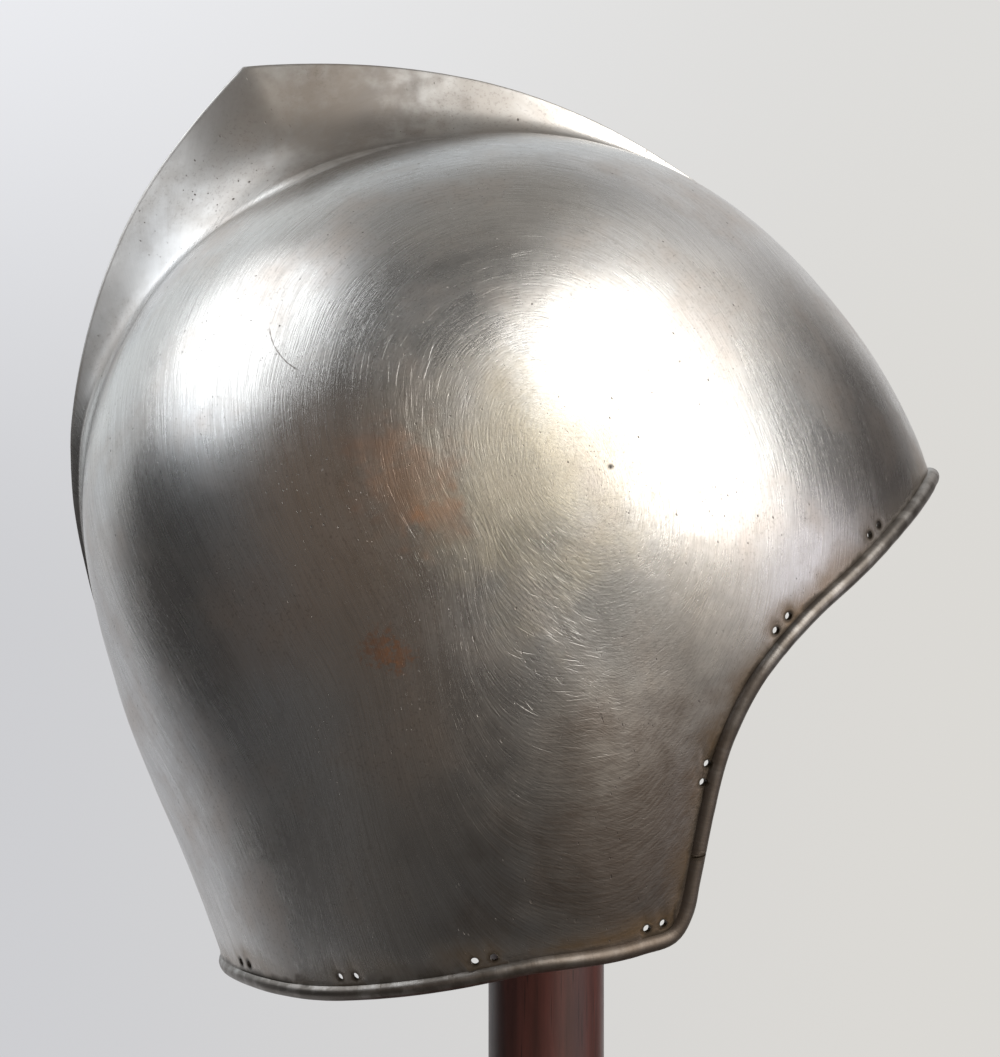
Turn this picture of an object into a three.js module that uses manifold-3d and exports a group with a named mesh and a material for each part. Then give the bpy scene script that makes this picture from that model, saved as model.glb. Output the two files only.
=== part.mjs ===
// A close-fitting open-faced steel helmet with a tall pointed comb, shown on a turned wooden post.
// Millimetres, +Z up. The helmet faces +X and is the same on both sides of the plane y = 0.
// The origin is the middle of the underside of the stand's foot.
import * as THREE from "three";
import { mergeVertices } from "three/addons/utils/BufferGeometryUtils.js";
import Module from "manifold-3d";

const wasm = await Module();
wasm.setup();

// ---- Driving dimensions ------------------------------------------------------------------------
const SKULL_CENTRE = new THREE.Vector3(-14, 0, 228);
const WALL = 1.5;
const HALF_WIDTH = 99; // widest half-width of the skull, outside the plate
// Side outline of the skull without its comb: radius from SKULL_CENTRE at every 15 degrees, from straight
// ahead, up over the crown, down the back and under the neck. The last stretch, under the neck and before
// the face, is open in the helmet and only carries the cheeks round.
const SKULL_RADII = [
  134, 127.5, 121.8, 120, 120.2, 120.4, 119.6, 118.2, 119, 123, 125, 125.8,
  125.3, 123.4, 126.4, 133.7, 156, 208, 262, 214, 160, 137, 134, 136,
];
const SIDE_FULLNESS = 2.6; // 2 makes every cross section an ellipse, more makes it squarer
const FLANK_MIDDLE = new THREE.Vector2(-10, -20); // where the skull is widest, from SKULL_CENTRE
const FLANK_FALL = new THREE.Vector2(0.08, 0.09); // how fast it narrows ahead and above, per 100 mm squared

const COMB_HEIGHT = 41; // above the skull, at the peak
const COMB_FRONT = THREE.MathUtils.degToRad(54);
const COMB_PEAK = THREE.MathUtils.degToRad(119.1);
const COMB_BACK = THREE.MathUtils.degToRad(202);
const COMB_FRONT_SWEEP = 1.7; // 1 rises in a straight line, more stays low before the peak
const COMB_BACK_SWEEP = 1.95;
const CREST_HALF_WIDTH = 0.7; // and the rounding of the crest
// Half-width gained per millimetre just below the crest: at the peak, and behind it.
const WALL_LEAN = [0.27, 0.5];
const LEAN_TURN = [116, 140]; // where the lean changes, in degrees
const COMB_ROOT = 0.61; // half-width at the root beyond the crest's own, over the comb's height
const FLARE_POWER = 4; // how late the wall flares out towards its root
const SWELL = 2.5; // how far the skull stands up under the back of the comb
const SWELL_TURN = [92, 122];
// Rounding of the crease at the root: at the peak, and gained towards the nape.
const ROOT_WIDTH = [0.45, 3.2];
const FADE_TURN = [136, 170];
const PEAK_TAPS = 12; // rounding of the corner below the peak, in degrees each way

const ROLL_RADIUS = 2.4;
const ROLL_RISE = [1.8, 0.4]; // its middle above the plate's inner face, at the brow and at the nape
// Middle line of the turned edge on the left-hand side, from the brow to the nape, from SKULL_CENTRE.
const EDGE = [
  [131, 0, 16], [127, 25, 13.5], [117, 50, 3], [101, 68, -11.5], [85.6, 78, -25], [72.4, 82, -40.3],
  [63, 82, -59.3], [57.6, 80, -79], [53.3, 77, -99], [51.5, 76, -108], [48, 76.5, -114.3], [38, 80, -116.6],
  [7, 86, -120.8], [-31, 79, -129], [-61, 59.5, -134], [-78, 34, -134], [-83, 0, -131],
];

// Lining holes, in pairs just inside the turned edge: where each pair lies, 0 at the brow and 1 at the nape.
const HOLE_PAIRS = [0.03, 0.184, 0.294, 0.415, 0.538, 0.661, 0.769, 0.888];
const HOLE_RADIUS = 1.05;
const HOLE_SPACING = 5.4;
const HOLE_INSET = 5.3; // from the middle of the roll

const POST_RADIUS = 17.5;
const FOOT_RADIUS = 92;
const FOOT_HEIGHT = 24;
const HEAD_RADIUS = 42;
const HEAD_CROWN_RADIUS = 75;
const HEAD_TOP = 344;
const CLEARANCE = 0.3; // between pieces that meet
const TENON = 14; // how far the post enters the foot and the head

// ---- Skull, comb and turned edge ---------------------------------------------------------------

// Uniform cubic B-spline through a ring of values, u in turns.
function ring(values, u) {
  const n = values.length;
  const at = (u - Math.floor(u)) * n;
  const i = Math.floor(at);
  const f = at - i;
  const w = [(1 - f) ** 3, 3 * f ** 3 - 6 * f ** 2 + 4, 1 + 3 * f + 3 * f ** 2 - 3 * f ** 3, f ** 3];
  return w.reduce((sum, v, k) => sum + (v * values[(i + k - 1 + n) % n]) / 6, 0);
}

// Height of the comb's crest above the skull in the direction phi.
function combHeight(phi) {
  const a = phi < -Math.PI / 2 ? phi + 2 * Math.PI : phi;
  if (a <= COMB_FRONT || a >= COMB_BACK) return 0;
  return a < COMB_PEAK
    ? COMB_HEIGHT * ((a - COMB_FRONT) / (COMB_PEAK - COMB_FRONT)) ** COMB_FRONT_SWEEP
    : COMB_HEIGHT * ((COMB_BACK - a) / (COMB_BACK - COMB_PEAK)) ** COMB_BACK_SWEEP;
}

// The same height with the corner at the peak rounded, as it is lower on the wall.
function softCombHeight(phi) {
  let sum = 0;
  let total = 0;
  for (let k = -PEAK_TAPS; k <= PEAK_TAPS; k++) {
    const w = Math.exp(-0.5 * (k / (PEAK_TAPS / 2.4)) ** 2);
    sum += w * combHeight(phi + THREE.MathUtils.degToRad(k));
    total += w;
  }
  return sum / total;
}

// Eases from 0 to 1 between two directions in degrees.
const ease = (turn, [from, to]) => THREE.MathUtils.smootherstep(turn, from, to);

// Half-width gained per millimetre of the comb's wall, at a depth over the comb's height.
const wallSlope = (depth, lean) =>
  lean + (COMB_ROOT - lean) * (FLARE_POWER + 1) * THREE.MathUtils.clamp(depth, 0, 1) ** FLARE_POWER;

// How far below the crest the comb's wall is, for a half-width beyond the crest's own. Both over the
// comb's height. 1 is the root, and the wall goes straight on beyond it.
function wallDepth(out, lean) {
  if (out >= COMB_ROOT) return 1 + (out - COMB_ROOT) / wallSlope(1, lean);
  const target = Math.max(0, out);
  let depth = (target / COMB_ROOT) ** 0.6;
  for (let i = 0; i < 8; i++) {
    const rise = lean * depth + (COMB_ROOT - lean) * depth ** (FLARE_POWER + 1);
    depth = Math.max(0, depth - (rise - target) / wallSlope(depth, lean));
  }
  return depth;
}

// Half-width of the skull at a share of its side outline in the direction phi.
function flank(outline, share, phi) {
  const x = (outline * share * Math.cos(phi) - FLANK_MIDDLE.x) / 100;
  const z = (outline * share * Math.sin(phi) - FLANK_MIDDLE.y) / 100;
  const fall = 1 - FLANK_FALL.x * x * x - FLANK_FALL.y * z * z;
  return HALF_WIDTH * Math.sqrt(Math.max(0, (1 - share ** SIDE_FULLNESS) * fall));
}

// Point of the plate's skin that belongs to a direction n of the unit sphere. depth is how far the skin lies
// inside the plate's outer face. On the sphere the comb runs along y = 0 and the ears are its poles.
function skin(n, depth) {
  const phi = Math.atan2(n.z, n.x);
  const outline = ring(SKULL_RADII, phi / (2 * Math.PI));
  const share = Math.min(1, Math.hypot(n.x, n.z));
  const turn = THREE.MathUtils.radToDeg(phi < -Math.PI / 2 ? phi + 2 * Math.PI : phi);
  const sharp = combHeight(phi);
  const soft = softCombHeight(phi);
  const swell = SWELL * ease(turn, SWELL_TURN) * (1 - Math.exp(-Math.min(soft, sharp) / 10));
  const full = outline + swell * share ** 2;
  const y = flank(full, share, phi) * (1 - depth / HALF_WIDTH);
  const plain = (full - depth) * share;
  const height = THREE.MathUtils.lerp(sharp, soft, ease(y, [CREST_HALF_WIDTH, CREST_HALF_WIDTH + 9])) - swell;
  let radius = plain;
  if (height > 0) {
    const tall = Math.max(height, 0.05);
    const lean = THREE.MathUtils.lerp(...WALL_LEAN, ease(turn, LEAN_TURN));
    const slope = wallSlope(wallDepth((y - CREST_HALF_WIDTH) / tall, lean), lean);
    const across = y + depth * Math.hypot(1, slope); // the wall's thickness measured across the comb
    const near = Math.min(across, CREST_HALF_WIDTH);
    const round = CREST_HALF_WIDTH - Math.sqrt(CREST_HALF_WIDTH ** 2 - near ** 2);
    const wall = tall * wallDepth((across - CREST_HALF_WIDTH) / tall, lean);
    const below = wall + round * THREE.MathUtils.clamp(height / 4, 0, 1);
    const beyond = Math.max(0, across - CREST_HALF_WIDTH - tall * COMB_ROOT);
    const crest = outline + swell + height - below - 0.15 * beyond ** 2;
    const root = ROOT_WIDTH[0] + ROOT_WIDTH[1] * ease(turn, FADE_TURN);
    const fade = 0.05 + root * THREE.MathUtils.clamp(height / 6, 0, 1);
    const lift = Math.max(-60, (crest - plain) / fade);
    radius = plain + fade * (Math.max(0, lift) + Math.log1p(Math.exp(-Math.abs(lift))));
  }
  return new THREE.Vector3(radius * Math.cos(phi), Math.sign(n.y) * y, radius * Math.sin(phi));
}

// Outward normal of the outer skin at a direction of the sphere.
function skinNormal(n) {
  const e = 0.004;
  const side = new THREE.Vector3(0, 1, 0).cross(n);
  if (side.length() < 1e-6) return new THREE.Vector3(0, Math.sign(n.y), 0);
  side.normalize();
  const up = n.clone().cross(side);
  const step = (v, s) => skin(n.clone().addScaledVector(v, s * e).normalize(), 0);
  const a = step(side, 1).sub(step(side, -1));
  const b = step(up, 1).sub(step(up, -1));
  return a.cross(b).normalize();
}

// The sphere is spread flat round this axis, through the crown, so that a grid can be laid over it.
const BOWL_AXIS = new THREE.Vector3(-0.35, 0, 0.94).normalize();
const BOWL_FORWARD = new THREE.Vector3(BOWL_AXIS.z, 0, -BOWL_AXIS.x);

// Flat place of a point of the skull's outer face.
function spread(p) {
  const phi = Math.atan2(p.z, p.x);
  const outline = ring(SKULL_RADII, phi / (2 * Math.PI));
  const share = Math.min(0.999, Math.hypot(p.x, p.z) / outline);
  const n = new THREE.Vector3(share * Math.cos(phi), 0, share * Math.sin(phi));
  n.y = (p.y * Math.sqrt(1 - share * share)) / flank(outline, share, phi);
  n.normalize();
  const angle = Math.acos(THREE.MathUtils.clamp(n.dot(BOWL_AXIS), -1, 1));
  const a = n.dot(BOWL_FORWARD);
  const scale = angle / Math.max(1e-9, Math.hypot(a, n.y));
  return new THREE.Vector2(a * scale, n.y * scale);
}

// Direction of the sphere at a flat place.
function fold(q) {
  const angle = q.length();
  if (angle < 1e-9) return BOWL_AXIS.clone();
  const s = Math.sin(angle) / angle;
  return BOWL_AXIS.clone().multiplyScalar(Math.cos(angle))
    .addScaledVector(BOWL_FORWARD, q.x * s)
    .add(new THREE.Vector3(0, q.y * s, 0));
}

// The whole edge, both sides, as one smooth ring.
const edgeRing = [...EDGE, ...EDGE.slice(1, -1).reverse().map(([x, y, z]) => [x, -y, z])];
const edgePoints = edgeRing.map((p) => new THREE.Vector3(...p));
const edgeCurve = new THREE.CatmullRomCurve3(edgePoints, true, "centripetal");
edgeCurve.arcLengthDivisions = 800;

// The turned edge's middle line spread flat, u from 0 at the brow to 1 at the nape.
const edgeAt = (u) => spread(edgeCurve.getPointAt(THREE.MathUtils.clamp(u / 2, 0, 0.5)));

const ALONG = 42; // grid columns from nape to brow
const ACROSS = 19; // grid rows from the crest to the edge, on each side
const ROLL_STEPS = 6;
const BORDER = 0.9999; // a grid point beyond this lies on the edge
const PEAK_COLUMN = 19;
const BROW_CORNER = 0.22; // where the grid's corners lie along the edge
const NAPE_CORNER = 0.86;
// Rows of the grid: the crest, its rounding, above the comb's root and below it.
const ROW_STOPS = [0, 0.11, 0.37, 0.48];
const CREST_SHARE = 0.0042; // how far the crest's rounding reaches, as a share of the way to the edge
const LEAST_ROOT = 0.04;

// Where the middle line of the grid starts, peaks and ends.
const browPoint = edgeAt(0);
const napePoint = edgeAt(1);
const backCorner = edgeAt(NAPE_CORNER);
const frontCorner = edgeAt(BROW_CORNER);
const peakPoint = (() => {
  const n = new THREE.Vector3(Math.cos(COMB_PEAK), 0, Math.sin(COMB_PEAK));
  return n.dot(BOWL_FORWARD) < 0 ? -Math.acos(n.dot(BOWL_AXIS)) : Math.acos(n.dot(BOWL_AXIS));
})();

// Flat point of the left-hand half: f from 0 at the nape to 1 at the brow, w from 0 at the crest to 1 at
// the edge.
function sheetPoint(f, w) {
  const column = f * ALONG;
  const lerp = THREE.MathUtils.lerp;
  const crest = new THREE.Vector2(
    column < PEAK_COLUMN
      ? lerp(napePoint.x, peakPoint, column / PEAK_COLUMN)
      : lerp(peakPoint, browPoint.x, (column - PEAK_COLUMN) / (ALONG - PEAK_COLUMN)), 0);
  const low = edgeAt(lerp(NAPE_CORNER, BROW_CORNER, f));
  const back = edgeAt(lerp(1, NAPE_CORNER, w));
  const front = edgeAt(lerp(0, BROW_CORNER, w));
  const p = crest.multiplyScalar(1 - w).addScaledVector(low, w)
    .addScaledVector(back, 1 - f).addScaledVector(front, f);
  p.addScaledVector(napePoint, -(1 - f) * (1 - w)).addScaledVector(backCorner, -(1 - f) * w);
  return p.addScaledVector(browPoint, -f * (1 - w)).addScaledVector(frontCorner, -f * w);
}

// Where the comb's root lies in a column of the grid, as a share of the way to the edge.
const rootShares = new Map();
function rootShare(f) {
  if (rootShares.has(f)) return rootShares.get(f);
  const start = fold(sheetPoint(f, 0));
  const phi = Math.atan2(start.z, start.x);
  const width = CREST_HALF_WIDTH + Math.max(softCombHeight(phi) - SWELL, 0) * COMB_ROOT;
  let share = LEAST_ROOT;
  while (share < 0.4 && Math.abs(skin(fold(sheetPoint(f, share)), 0).y) < width) share += 0.002;
  rootShares.set(f, share);
  return share;
}

// Flat point of the half grid: s from -1 at the nape to 1 at the brow, t from 0 at the crest to 1 at the
// edge, with a row along the comb's root.
function gridPoint(s, t) {
  const f = (s + 1) / 2;
  const root = rootShare(f);
  const rows = [0, CREST_SHARE, 0.85 * root, 1.15 * root];
  const last = rows.length - 1;
  for (let k = 0; k < last; k++) {
    if (t >= ROW_STOPS[k + 1]) continue;
    const share = (t - ROW_STOPS[k]) / (ROW_STOPS[k + 1] - ROW_STOPS[k]);
    return sheetPoint(f, THREE.MathUtils.lerp(rows[k], rows[k + 1], share));
  }
  const rest = Math.min(1, (t - ROW_STOPS[last]) / (1 - ROW_STOPS[last]));
  return sheetPoint(f, THREE.MathUtils.lerp(rows[last], 1, rest ** 1.25));
}

// Direction of the sphere under a point of the whole grid.
function gridDirection(s, t) {
  const q = gridPoint(s, Math.abs(t));
  if (t < 0) q.y = -q.y;
  return fold(q);
}

// Direction of the edge at a border point of the grid.
function edgeTangent(p) {
  const near = (k) => {
    const [s, t] = Math.abs(p.x) > BORDER ? [p.x, p.y + k] : [p.x + k, p.y];
    return skin(gridDirection(THREE.MathUtils.clamp(s, -1, 1), THREE.MathUtils.clamp(t, -1, 1)), WALL);
  };
  return near(0.01).sub(near(-0.01)).normalize();
}

// Splits each four-sided cell along its shorter diagonal, which keeps both flanks alike.
function splitShort(g) {
  const corner = (i) => new THREE.Vector3().fromBufferAttribute(g.attributes.position, i);
  const t = g.index.array;
  for (let i = 0; i < t.length; i += 6) {
    const [a, b, d, , c] = t.slice(i, i + 6);
    const own = corner(b).distanceTo(corner(d));
    if (corner(a).distanceTo(corner(c)) < own - 1e-4) t.set([a, b, c, a, c, d], i);
  }
}

// A box with one grid face folded into the outer skin, the other into the inner skin, and its four sides
// into the roll.
function helmetGeometry() {
  const g = new THREE.BoxGeometry(2, 2, 1, ALONG, 2 * ACROSS, ROLL_STEPS);
  const at = g.attributes.position;
  const p = new THREE.Vector3();
  for (let i = 0; i < at.count; i++) {
    p.fromBufferAttribute(at, i);
    const n = gridDirection(p.x, p.y);
    if (Math.max(Math.abs(p.x), Math.abs(p.y)) < BORDER) {
      const v = skin(n, p.z > 0 ? 0 : WALL);
      at.setXYZ(i, v.x, v.y, v.z);
      continue;
    }
    const foot = skin(n, WALL);
    const normal = skinNormal(n);
    const inward = skin(gridDirection(p.x * 0.985, p.y * 0.985), WALL).sub(foot);
    const out = edgeTangent(p).cross(normal).normalize();
    if (out.dot(inward) > 0) out.negate();
    const toNape = (EDGE[0][0] - foot.x) / (EDGE[0][0] - EDGE.at(-1)[0]);
    const rise = THREE.MathUtils.lerp(...ROLL_RISE, toNape);
    const first = -Math.acos(rise / ROLL_RADIUS);
    const last = 2 * Math.PI - Math.acos((rise - WALL) / ROLL_RADIUS);
    const angle = THREE.MathUtils.lerp(first, last, p.z + 0.5);
    foot.addScaledVector(out, ROLL_RADIUS * Math.sin(angle));
    foot.addScaledVector(normal, rise - ROLL_RADIUS * Math.cos(angle));
    at.setXYZ(i, foot.x, foot.y, foot.z);
  }
  g.deleteAttribute("normal");
  g.deleteAttribute("uv");
  splitShort(g);
  g.translate(...SKULL_CENTRE);
  return mergeVertices(g, 1e-3);
}

// A closed geometry as a solid to cut, and back.
function solid(geometry) {
  const { position } = geometry.attributes;
  return new wasm.Manifold(new wasm.Mesh({
    numProp: 3,
    vertProperties: Float32Array.from(position.array),
    triVerts: Uint32Array.from(geometry.index.array),
  }));
}

function geometryOf(manifold) {
  const mesh = manifold.getMesh();
  const g = new THREE.BufferGeometry();
  g.setAttribute("position", new THREE.BufferAttribute(Float32Array.from(mesh.vertProperties), 3));
  return g.setIndex(new THREE.BufferAttribute(Uint32Array.from(mesh.triVerts), 1));
}

// One punch for each lining hole, square to the plate.
function punches() {
  const made = [];
  for (const u of HOLE_PAIRS) {
    const step = HOLE_SPACING / edgeCurve.getLength();
    for (const sign of [-1, 1]) {
      for (const side of [-1, 1]) {
        const q = edgeAt(u + sign * step);
        const ahead = edgeAt(u + sign * step + 0.01).sub(edgeAt(u + sign * step - 0.01)).normalize();
        const inward = new THREE.Vector2(-ahead.y, ahead.x);
        if (inward.dot(q) > 0) inward.negate();
        const here = skin(fold(q), 0);
        const reach = skin(fold(q.clone().addScaledVector(inward, 0.05)), 0).distanceTo(here);
        const n = fold(q.clone().addScaledVector(inward, (0.05 * HOLE_INSET) / reach));
        const normal = skinNormal(n);
        const centre = skin(n, WALL / 2);
        const punch = new THREE.CylinderGeometry(HOLE_RADIUS, HOLE_RADIUS, 4 * WALL, 8);
        punch.applyQuaternion(new THREE.Quaternion().setFromUnitVectors(new THREE.Vector3(0, 1, 0), normal));
        punch.translate(centre.x, centre.y, centre.z);
        if (side < 0) punch.scale(1, -1, 1);
        punch.translate(...SKULL_CENTRE);
        made.push(punch);
      }
    }
  }
  return made;
}

// Solid of a closed shape whose faces may have been turned inside out by mirroring.
function turnedOut(geometry) {
  geometry.deleteAttribute("normal");
  geometry.deleteAttribute("uv");
  const merged = mergeVertices(geometry, 1e-4);
  const m = solid(merged);
  if (m.volume() > 0) return m;
  const t = merged.index.array;
  for (let i = 0; i < t.length; i += 3) [t[i], t[i + 1]] = [t[i + 1], t[i]];
  return solid(merged);
}

// The finished plate with its lining holes.
function punchedHelmet() {
  const plate = solid(helmetGeometry());
  return geometryOf(wasm.Manifold.difference([plate, ...punches().map(turnedOut)]));
}

// ---- Stand -------------------------------------------------------------------------------------

// A body turned about the post's axis, from [radius, height] points.
function turned(profile, sides) {
  const g = new THREE.LatheGeometry(profile.map(([r, z]) => new THREE.Vector2(r, z)), sides);
  g.rotateX(Math.PI / 2);
  g.deleteAttribute("uv");
  g.deleteAttribute("normal");
  return mergeVertices(g, 1e-4);
}

// Points of an arc in a turning profile, from angle a to b in degrees.
function arc(cx, cz, radius, a, b, steps) {
  return Array.from({ length: steps + 1 }, (_, i) => {
    const t = THREE.MathUtils.degToRad(a + ((b - a) * i) / steps);
    return [cx + radius * Math.cos(t), cz + radius * Math.sin(t)];
  });
}

const foot = turned([
  [0, 0],
  [FOOT_RADIUS - 3, 0],
  ...arc(FOOT_RADIUS - 5, 5, 5, -60, 90, 4),
  [FOOT_RADIUS - 16, 11],
  ...arc(28, FOOT_HEIGHT - 3, 3, 60, 90, 2),
  [POST_RADIUS + CLEARANCE, FOOT_HEIGHT],
  [POST_RADIUS + CLEARANCE, FOOT_HEIGHT - TENON],
  [0, FOOT_HEIGHT - TENON],
], 56);

const headBase = HEAD_TOP - 34;
const post = turned([
  [0, FOOT_HEIGHT - TENON + CLEARANCE],
  [POST_RADIUS, FOOT_HEIGHT - TENON + CLEARANCE],
  [POST_RADIUS, headBase + TENON - CLEARANCE],
  [0, headBase + TENON - CLEARANCE],
], 40);

const head = turned([
  [0, headBase + TENON],
  [POST_RADIUS + CLEARANCE, headBase + TENON],
  [POST_RADIUS + CLEARANCE, headBase],
  [POST_RADIUS + 8, headBase],
  ...arc(HEAD_RADIUS - 6, HEAD_TOP - 21, 6, -70, 40, 4),
  ...arc(0, HEAD_TOP - HEAD_CROWN_RADIUS, HEAD_CROWN_RADIUS, 60, 90, 8)
    .map(([r, z]) => [r < 1e-6 ? 0 : r, z]),
], 40);

// ---- Assembly ----------------------------------------------------------------------------------

const group = new THREE.Group();
function add(name, geometry, color, roughness, metalness) {
  const mesh = new THREE.Mesh(geometry, new THREE.MeshStandardMaterial({ color, roughness, metalness }));
  mesh.name = name;
  group.add(mesh);
}
add("helmet", punchedHelmet(), 0x8d8e90, 0.3, 1);
add("stand_post", post, 0x3b1c19, 0.35, 0);
add("stand_head", head, 0x3b1c19, 0.45, 0);
add("stand_foot", foot, 0x3b1c19, 0.35, 0);

export default group;
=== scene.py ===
"""A combed open-faced steel helmet on a turned wooden post, dressed for a plain studio.

The CAD frame gives the places. The helmet is one raised plate: its skull, comb, cheeks and turned
edge are folded from one slab, so that the wall and the edge follow one skin formula. The stand is
three turned wooden pieces.
"""

import logging
import math
from dataclasses import dataclass, field
from enum import Enum
from typing import Any, Sequence

import bmesh
import bpy
import numpy as np
from mathutils import Matrix, Quaternion, Vector, kdtree, noise


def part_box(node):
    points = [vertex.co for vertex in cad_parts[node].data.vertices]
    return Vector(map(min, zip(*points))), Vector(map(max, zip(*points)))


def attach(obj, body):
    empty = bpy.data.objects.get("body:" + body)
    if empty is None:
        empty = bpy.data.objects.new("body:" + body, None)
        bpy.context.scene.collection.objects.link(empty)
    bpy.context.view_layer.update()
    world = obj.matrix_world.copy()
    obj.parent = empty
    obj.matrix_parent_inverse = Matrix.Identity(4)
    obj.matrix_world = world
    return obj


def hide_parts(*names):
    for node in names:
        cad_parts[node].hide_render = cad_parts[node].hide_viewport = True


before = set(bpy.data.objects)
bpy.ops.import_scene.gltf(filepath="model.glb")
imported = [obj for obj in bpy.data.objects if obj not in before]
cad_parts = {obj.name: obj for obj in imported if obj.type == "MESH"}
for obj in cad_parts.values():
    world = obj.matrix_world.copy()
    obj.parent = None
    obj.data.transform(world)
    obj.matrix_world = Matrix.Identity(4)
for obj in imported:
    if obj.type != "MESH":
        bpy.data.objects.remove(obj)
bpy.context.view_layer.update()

log = logging.getLogger("helmet_on_post")

MM = 0.001
BORDER = 0.9999  # a place of the slab beyond this lies on its rim
Place = tuple[float, float, float]
Colour = tuple[float, float, float]
Socket = bpy.types.NodeSocket
Holes = Sequence[tuple[np.ndarray, np.ndarray]]  # middle and outward normal of each


def new_mesh(name: str, bm: bmesh.types.BMesh) -> bpy.types.Mesh:
    """Turns a finished bmesh into a mesh, and frees it.

    Args:
        name: the mesh's name.
        bm: the finished bmesh, which is freed.

    Returns:
        The new mesh.
    """
    mesh = bpy.data.meshes.new(name)
    bm.to_mesh(mesh)
    bm.free()
    return mesh


def new_object(name: str, data: bpy.types.ID) -> bpy.types.Object:
    """Puts a mesh, lamp or camera into the scene.

    Args:
        name: the object's name.
        data: its mesh, lamp or camera.

    Returns:
        The object, linked into the scene.
    """
    made = bpy.data.objects.new(name, data)
    bpy.context.scene.collection.objects.link(made)
    return made


def smooth(x: np.ndarray) -> np.ndarray:
    """Eases 0 to 1 with no sudden change of slope or bend, and holds beyond."""
    x = np.clip(x, 0.0, 1.0)
    return x * x * x * (x * (6.0 * x - 15.0) + 10.0)


def ease(turn: np.ndarray, ends: tuple[float, float]) -> np.ndarray:
    """Eases 0 to 1 as a direction in degrees goes from one end to the other."""
    return smooth((turn - ends[0]) / (ends[1] - ends[0]))


def lerp(a: Any, b: Any, share: Any) -> Any:
    """Mixes a and b, share 0 giving a."""
    return a + (b - a) * share


def turned(phi: np.ndarray) -> np.ndarray:
    """Directions in radians as degrees from -90, straight down, to 270."""
    return np.degrees(np.where(phi < -math.pi / 2, phi + 2 * math.pi, phi))


def unit(v: np.ndarray) -> np.ndarray:
    """Each row of v at length 1."""
    return v / np.maximum(np.linalg.norm(v, axis=1, keepdims=True), 1e-12)


# ---- The helmet's shape, in millimetres from the middle of the skull ----------------------------


@dataclass
class Comb:
    """The tall pointed comb along the middle of the skull. Angles run from straight ahead, up."""

    height: float = 41.0
    front: float = 54.0
    peak: float = 119.1
    back: float = 202.0
    front_sweep: float = 1.7
    back_sweep: float = 1.95
    crest_half_width: float = 0.7  # and the rounding of the crest
    wall_lean: tuple[float, float] = (0.27, 0.5)  # half-width per millimetre below the crest: peak, nape
    lean_turn: tuple[float, float] = (116.0, 140.0)  # directions between which the lean changes
    root: float = 0.61  # half-width at the root beyond the crest's own, over the comb's height
    flare_power: int = 4  # how late the wall flares out
    root_width: float = 0.45  # how far the crease at the root is rounded
    fade_width: float = 3.2  # rounding gained towards the nape
    fade_turn: tuple[float, float] = (136.0, 170.0)  # directions between which it is gained
    corner_taps: int = 12  # rounding of the corner below the peak, degrees each way

    def crest(self, phi: np.ndarray) -> np.ndarray:
        """Height of the crest above the skull.

        Args:
            phi: directions in the helmet's middle plane, in radians.

        Returns:
            The height at each direction, 0 off the comb.
        """
        a = turned(phi)
        rise = np.clip((a - self.front) / (self.peak - self.front), 0, 1) ** self.front_sweep
        fall = np.clip((self.back - a) / (self.back - self.peak), 0, 1) ** self.back_sweep
        return self.height * np.where(a < self.peak, rise, fall)

    def soft_crest(self, phi: np.ndarray) -> np.ndarray:
        """The same height with the corner at the peak rounded, as it is lower on the wall.

        Args:
            phi: directions in the helmet's middle plane, in radians.

        Returns:
            The height at each direction.
        """
        taps = np.arange(-self.corner_taps, self.corner_taps + 1)
        weights = np.exp(-0.5 * (taps / (self.corner_taps / 2.4)) ** 2)
        total = sum(w * self.crest(phi + math.radians(k)) for k, w in zip(taps, weights))
        return total / weights.sum()

    def lean(self, turn: np.ndarray) -> np.ndarray:
        """Lean of the wall just below the crest, at each direction in degrees."""
        return lerp(*self.wall_lean, ease(turn, self.lean_turn))

    def slope(self, below: np.ndarray, lean: np.ndarray) -> np.ndarray:
        """Half-width gained per millimetre, at each depth over the comb's height."""
        flare = (self.root - lean) * (self.flare_power + 1)
        return lean + flare * np.clip(below, 0, 1) ** self.flare_power

    def depth_at(self, out: np.ndarray, lean: np.ndarray) -> np.ndarray:
        """How far below the crest the wall is.

        Args:
            out: half-width beyond the crest's own, over the comb's height.
            lean: lean of the wall just below the crest.

        Returns:
            The depth over the comb's height: 1 at the root, and straight on beyond it.
        """
        depth = np.clip(out / self.root, 0, 1) ** 0.6
        for _ in range(8):
            rise = lean * depth + (self.root - lean) * depth ** (self.flare_power + 1)
            depth = np.maximum(0, depth - (rise - np.clip(out, 0, self.root)) / self.slope(depth, lean))
        return np.where(out < self.root, depth, 1 + (out - self.root) / self.slope(1.0, lean))


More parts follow.
